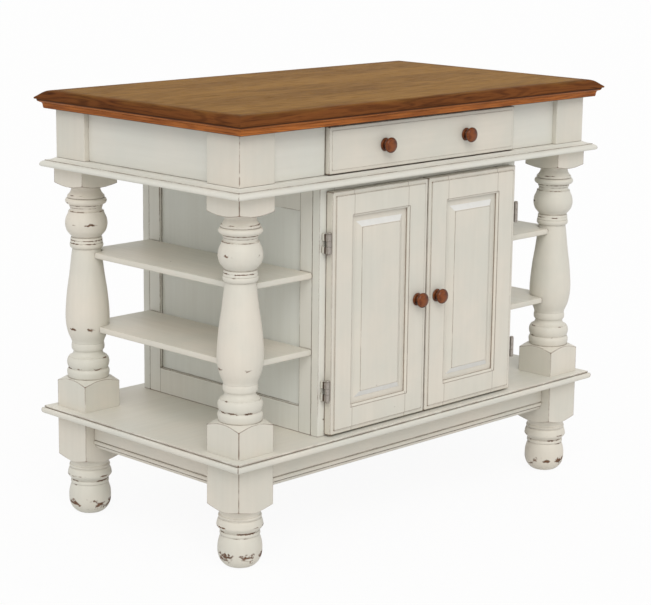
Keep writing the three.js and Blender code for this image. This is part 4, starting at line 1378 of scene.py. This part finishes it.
for i, side in enumerate(("left", "right")):
    node = "door_frame_" + side
    half_u, half_v, face, stand = standing(node, DOOR_THICK)
    levels = levels_of(door_frame_outline, half_u, half_v, face)
    # Rails are narrower than stiles, so the inner levels reach further up and down.
    levels = [
        (u, v + (DOOR_STILE - DOOR_RAIL) * MM if half_u - u > 30 * MM else v, d)
        for u, v, d in levels
    ]
    centre = stand.translation
    opening = half_v - (DOOR_RAIL - 1) * MM
    joint = ("X", centre.x, half_u - DOOR_STILE * MM, centre.z, opening)
    white = antique_white(node, 40.0 + i, rub=0.9, joint=joint)
    make_piece(node, mitred(levels, True, stand, 0.4 * MM), white)

    node = "door_panel_" + side
    panel_u, panel_v, *_ = standing(node, 0)
    levels = levels_of(door_panel_outline, panel_u, panel_v, face)
    # The panel's bevels above and below its field get painted light.
    field = (centre.x, centre.z, panel_u - PANEL_BEVEL * MM, panel_v - PANEL_BEVEL * MM)
    white = antique_white(node, 42.0 + i, rub=0.8, glaze=1.2, alone=True, bevels=field)
    make_piece(node, mitred(levels, False, stand, 0.3 * MM), white)
print("doors:", round(2 * half_u, 4), "by", round(2 * half_v, 4))

# %% [markdown]
# ### Knobs
#
# A knob is one turning: a flange that sits on the paint, a waist, and a domed head.

# %% Knobs
knob_outline = (
    Outline((0, 0), (13.1, 0))
    .curve((13.6, 0.6), (13.5, 1.6), (12.6, 2.8))
    .to((11.4, 3.3))
    .curve((8.4, 4.6), (6.9, 6.8), (7.4, 9.4))
    .to((8.4, 10.3))
    .curve((12.2, 11), (15, 13), (16, 15.8), (15.3, 18.6), (12.4, 21.3), (7, 23), (2.5, 23.4))
    .to((0, 23.5))
)
for node in ("door_knob_left", "door_knob_right", "drawer_knob_left", "drawer_knob_right"):
    foot = middle_of(node)
    foot.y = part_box(node)[1].y
    shape = turned(knob_outline.metres(), 48)
    shape.transform(Matrix.Translation(foot) @ FACING_FRONT)
    make_piece(node, shape, turned_cherry(node.replace("_", " ") + " cherry", foot))
print("knobs: 4, the last at x", round(foot.x, 4))

# %% [markdown]
# ### Hinges
#
# These are butt hinges whose barrels show. The frame's leaf has an upper and a lower knuckle and
# the pin, and the door's leaf has the knuckle between them. Each is drawn for the right side
# round its pin, which stands where the door's joint is, and given half a turn for the left.

# %% Hinges
PIN = 1.6
BORE = 1.9
HINGE_SIDES = 32
BARREL = 4.6
LEAF = 1.6
LEAF_HALF = 20.0
LEAF_WIDTH = 2.6
STANDOFF = 16.0
PLATE_REACH = 6.3
PLATE_FRONT = -0.5


def scaled(low, high):
    """A block whose corners are given in millimetres."""
    return block(Vector(low) * MM, Vector(high) * MM)


def leaf_plate(low, high):
    """The flat plate of a leaf, with its arrises eased."""
    plate = scaled(low, high)
    bmesh.ops.bevel(plate, geom=plate.edges[:], offset=0.3 * MM, segments=2, affect="EDGES")
    return plate


def frame_leaf_shape():
    """The leaf on the face frame, with the pin and two knuckles."""
    half = (
        Outline(
            (PIN, 6.3), (BARREL - 0.4, 6.3), (BARREL, 6.7), (BARREL, LEAF_HALF - 0.4),
            (BARREL - 0.4, LEAF_HALF), (BARREL * 0.72, LEAF_HALF + 0.3),
        )
        .curve((4.2, 21.2), (4, 22.4), (2.6, 23.6), steps=3)
        .to((0, 24))
    )
    shape = turned(half.metres(way=-1)[::-1] + half.metres(), HINGE_SIDES)
    face = STANDOFF - 0.3 - LEAF
    plate = leaf_plate((-2.3, face, -LEAF_HALF), (LEAF_WIDTH, face + LEAF, LEAF_HALF))
    shape = combined(shape, plate, "UNION")
    for low, high in ((-LEAF_HALF, -6.3), (6.3, LEAF_HALF)):
        web = scaled((0.8, 0, low), (BARREL - 0.3, face + 0.5, high))
        shape = combined(shape, web, "UNION")
    return shape


def door_leaf_shape(back):
    """The leaf on the door's edge, with the middle knuckle."""
    round_end = BARREL - 0.3
    knuckle = Outline(
        (0, -6), (round_end, -6), (BARREL, -5.7), (BARREL, 5.7), (round_end, 6), (0, 6)
    )
    shape = turned(knuckle.metres(), HINGE_SIDES)
    outer = -PLATE_REACH
    plate = leaf_plate((outer - LEAF, PLATE_FRONT, -LEAF_HALF), (outer, back, LEAF_HALF))
    shape = combined(shape, plate, "UNION")
    web = scaled((outer - 0.5, 0.1, -5.6), (-0.2, BARREL / 2, 5.6))
    shape = combined(shape, web, "UNION")
    bore = Outline((0, -8), (BORE, -8), (BORE, 8), (0, 8))
    return combined(shape, turned(bore.metres(), HINGE_SIDES), "DIFFERENCE")


frame_leaf_form = mesh_of("frame_leaf", frame_leaf_shape())
for side, half_turn in (("left", True), ("right", False)):
    for level in ("top", "bottom"):
        node = "hinge_" + side + "_" + level + "_frame_leaf"
        hinge = "door_" + side + "_hinge"
        pin = hinge_places[hinge].copy()
        pin.z = middle_of(node).z
        stand = Matrix.Translation(pin)
        if half_turn:
            stand = stand @ Matrix.Rotation(math.pi, 4, "Y")
        mesh = frame_leaf_form.copy()
        mesh.name = node
        mesh.transform(stand)
        make_piece(node, mesh, bronze[hinge])

        node = "hinge_" + side + "_" + level + "_door_leaf"
        shape = door_leaf_shape((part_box(node)[1].y - pin.y) / MM)
        shape.transform(stand)
        make_piece(node, shape, bronze[hinge])
bpy.data.meshes.remove(frame_leaf_form)
print("hinges: 4, pins at x", round(abs(pin.x), 4))

# %% [markdown]
# ### Drawer
#
# The drawer front has the same rim as the doors, cut lower. Behind it are a plain box, and two
# runners that stand on the ledge.

# %% Drawer
drawer_outline = Outline(
    (8.2, 0), (7.7, 0.2), (7.4, 1.0), (7.0, 1.2), (1.6, 1.2), (0.6, 1.5), (0.1, 2.2),
    (0, 2.9), (0, 19.6), (0.4, 20),
)
half_u, half_v, face, stand = standing("drawer_front", 20.0)
drawer_white = antique_white("drawer_front", 50.0, ALONG_X, rub=0.8, glaze=1.3)
drawer_shape = mitred(levels_of(drawer_outline, half_u, half_v, face), False, stand, 0.5 * MM)
make_piece("drawer_front", drawer_shape, drawer_white)
for name in ("side_left", "side_right", "bottom", "back", "runner_left", "runner_right"):
    softened("drawer_" + name, bare, 0.5 * MM)
shown = [o.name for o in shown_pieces()]
plain = [name for name in frame["nodes"] if frame["nodes"][name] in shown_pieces()]
print("pieces:", len(shown), "of which plain frame nodes:", plain)
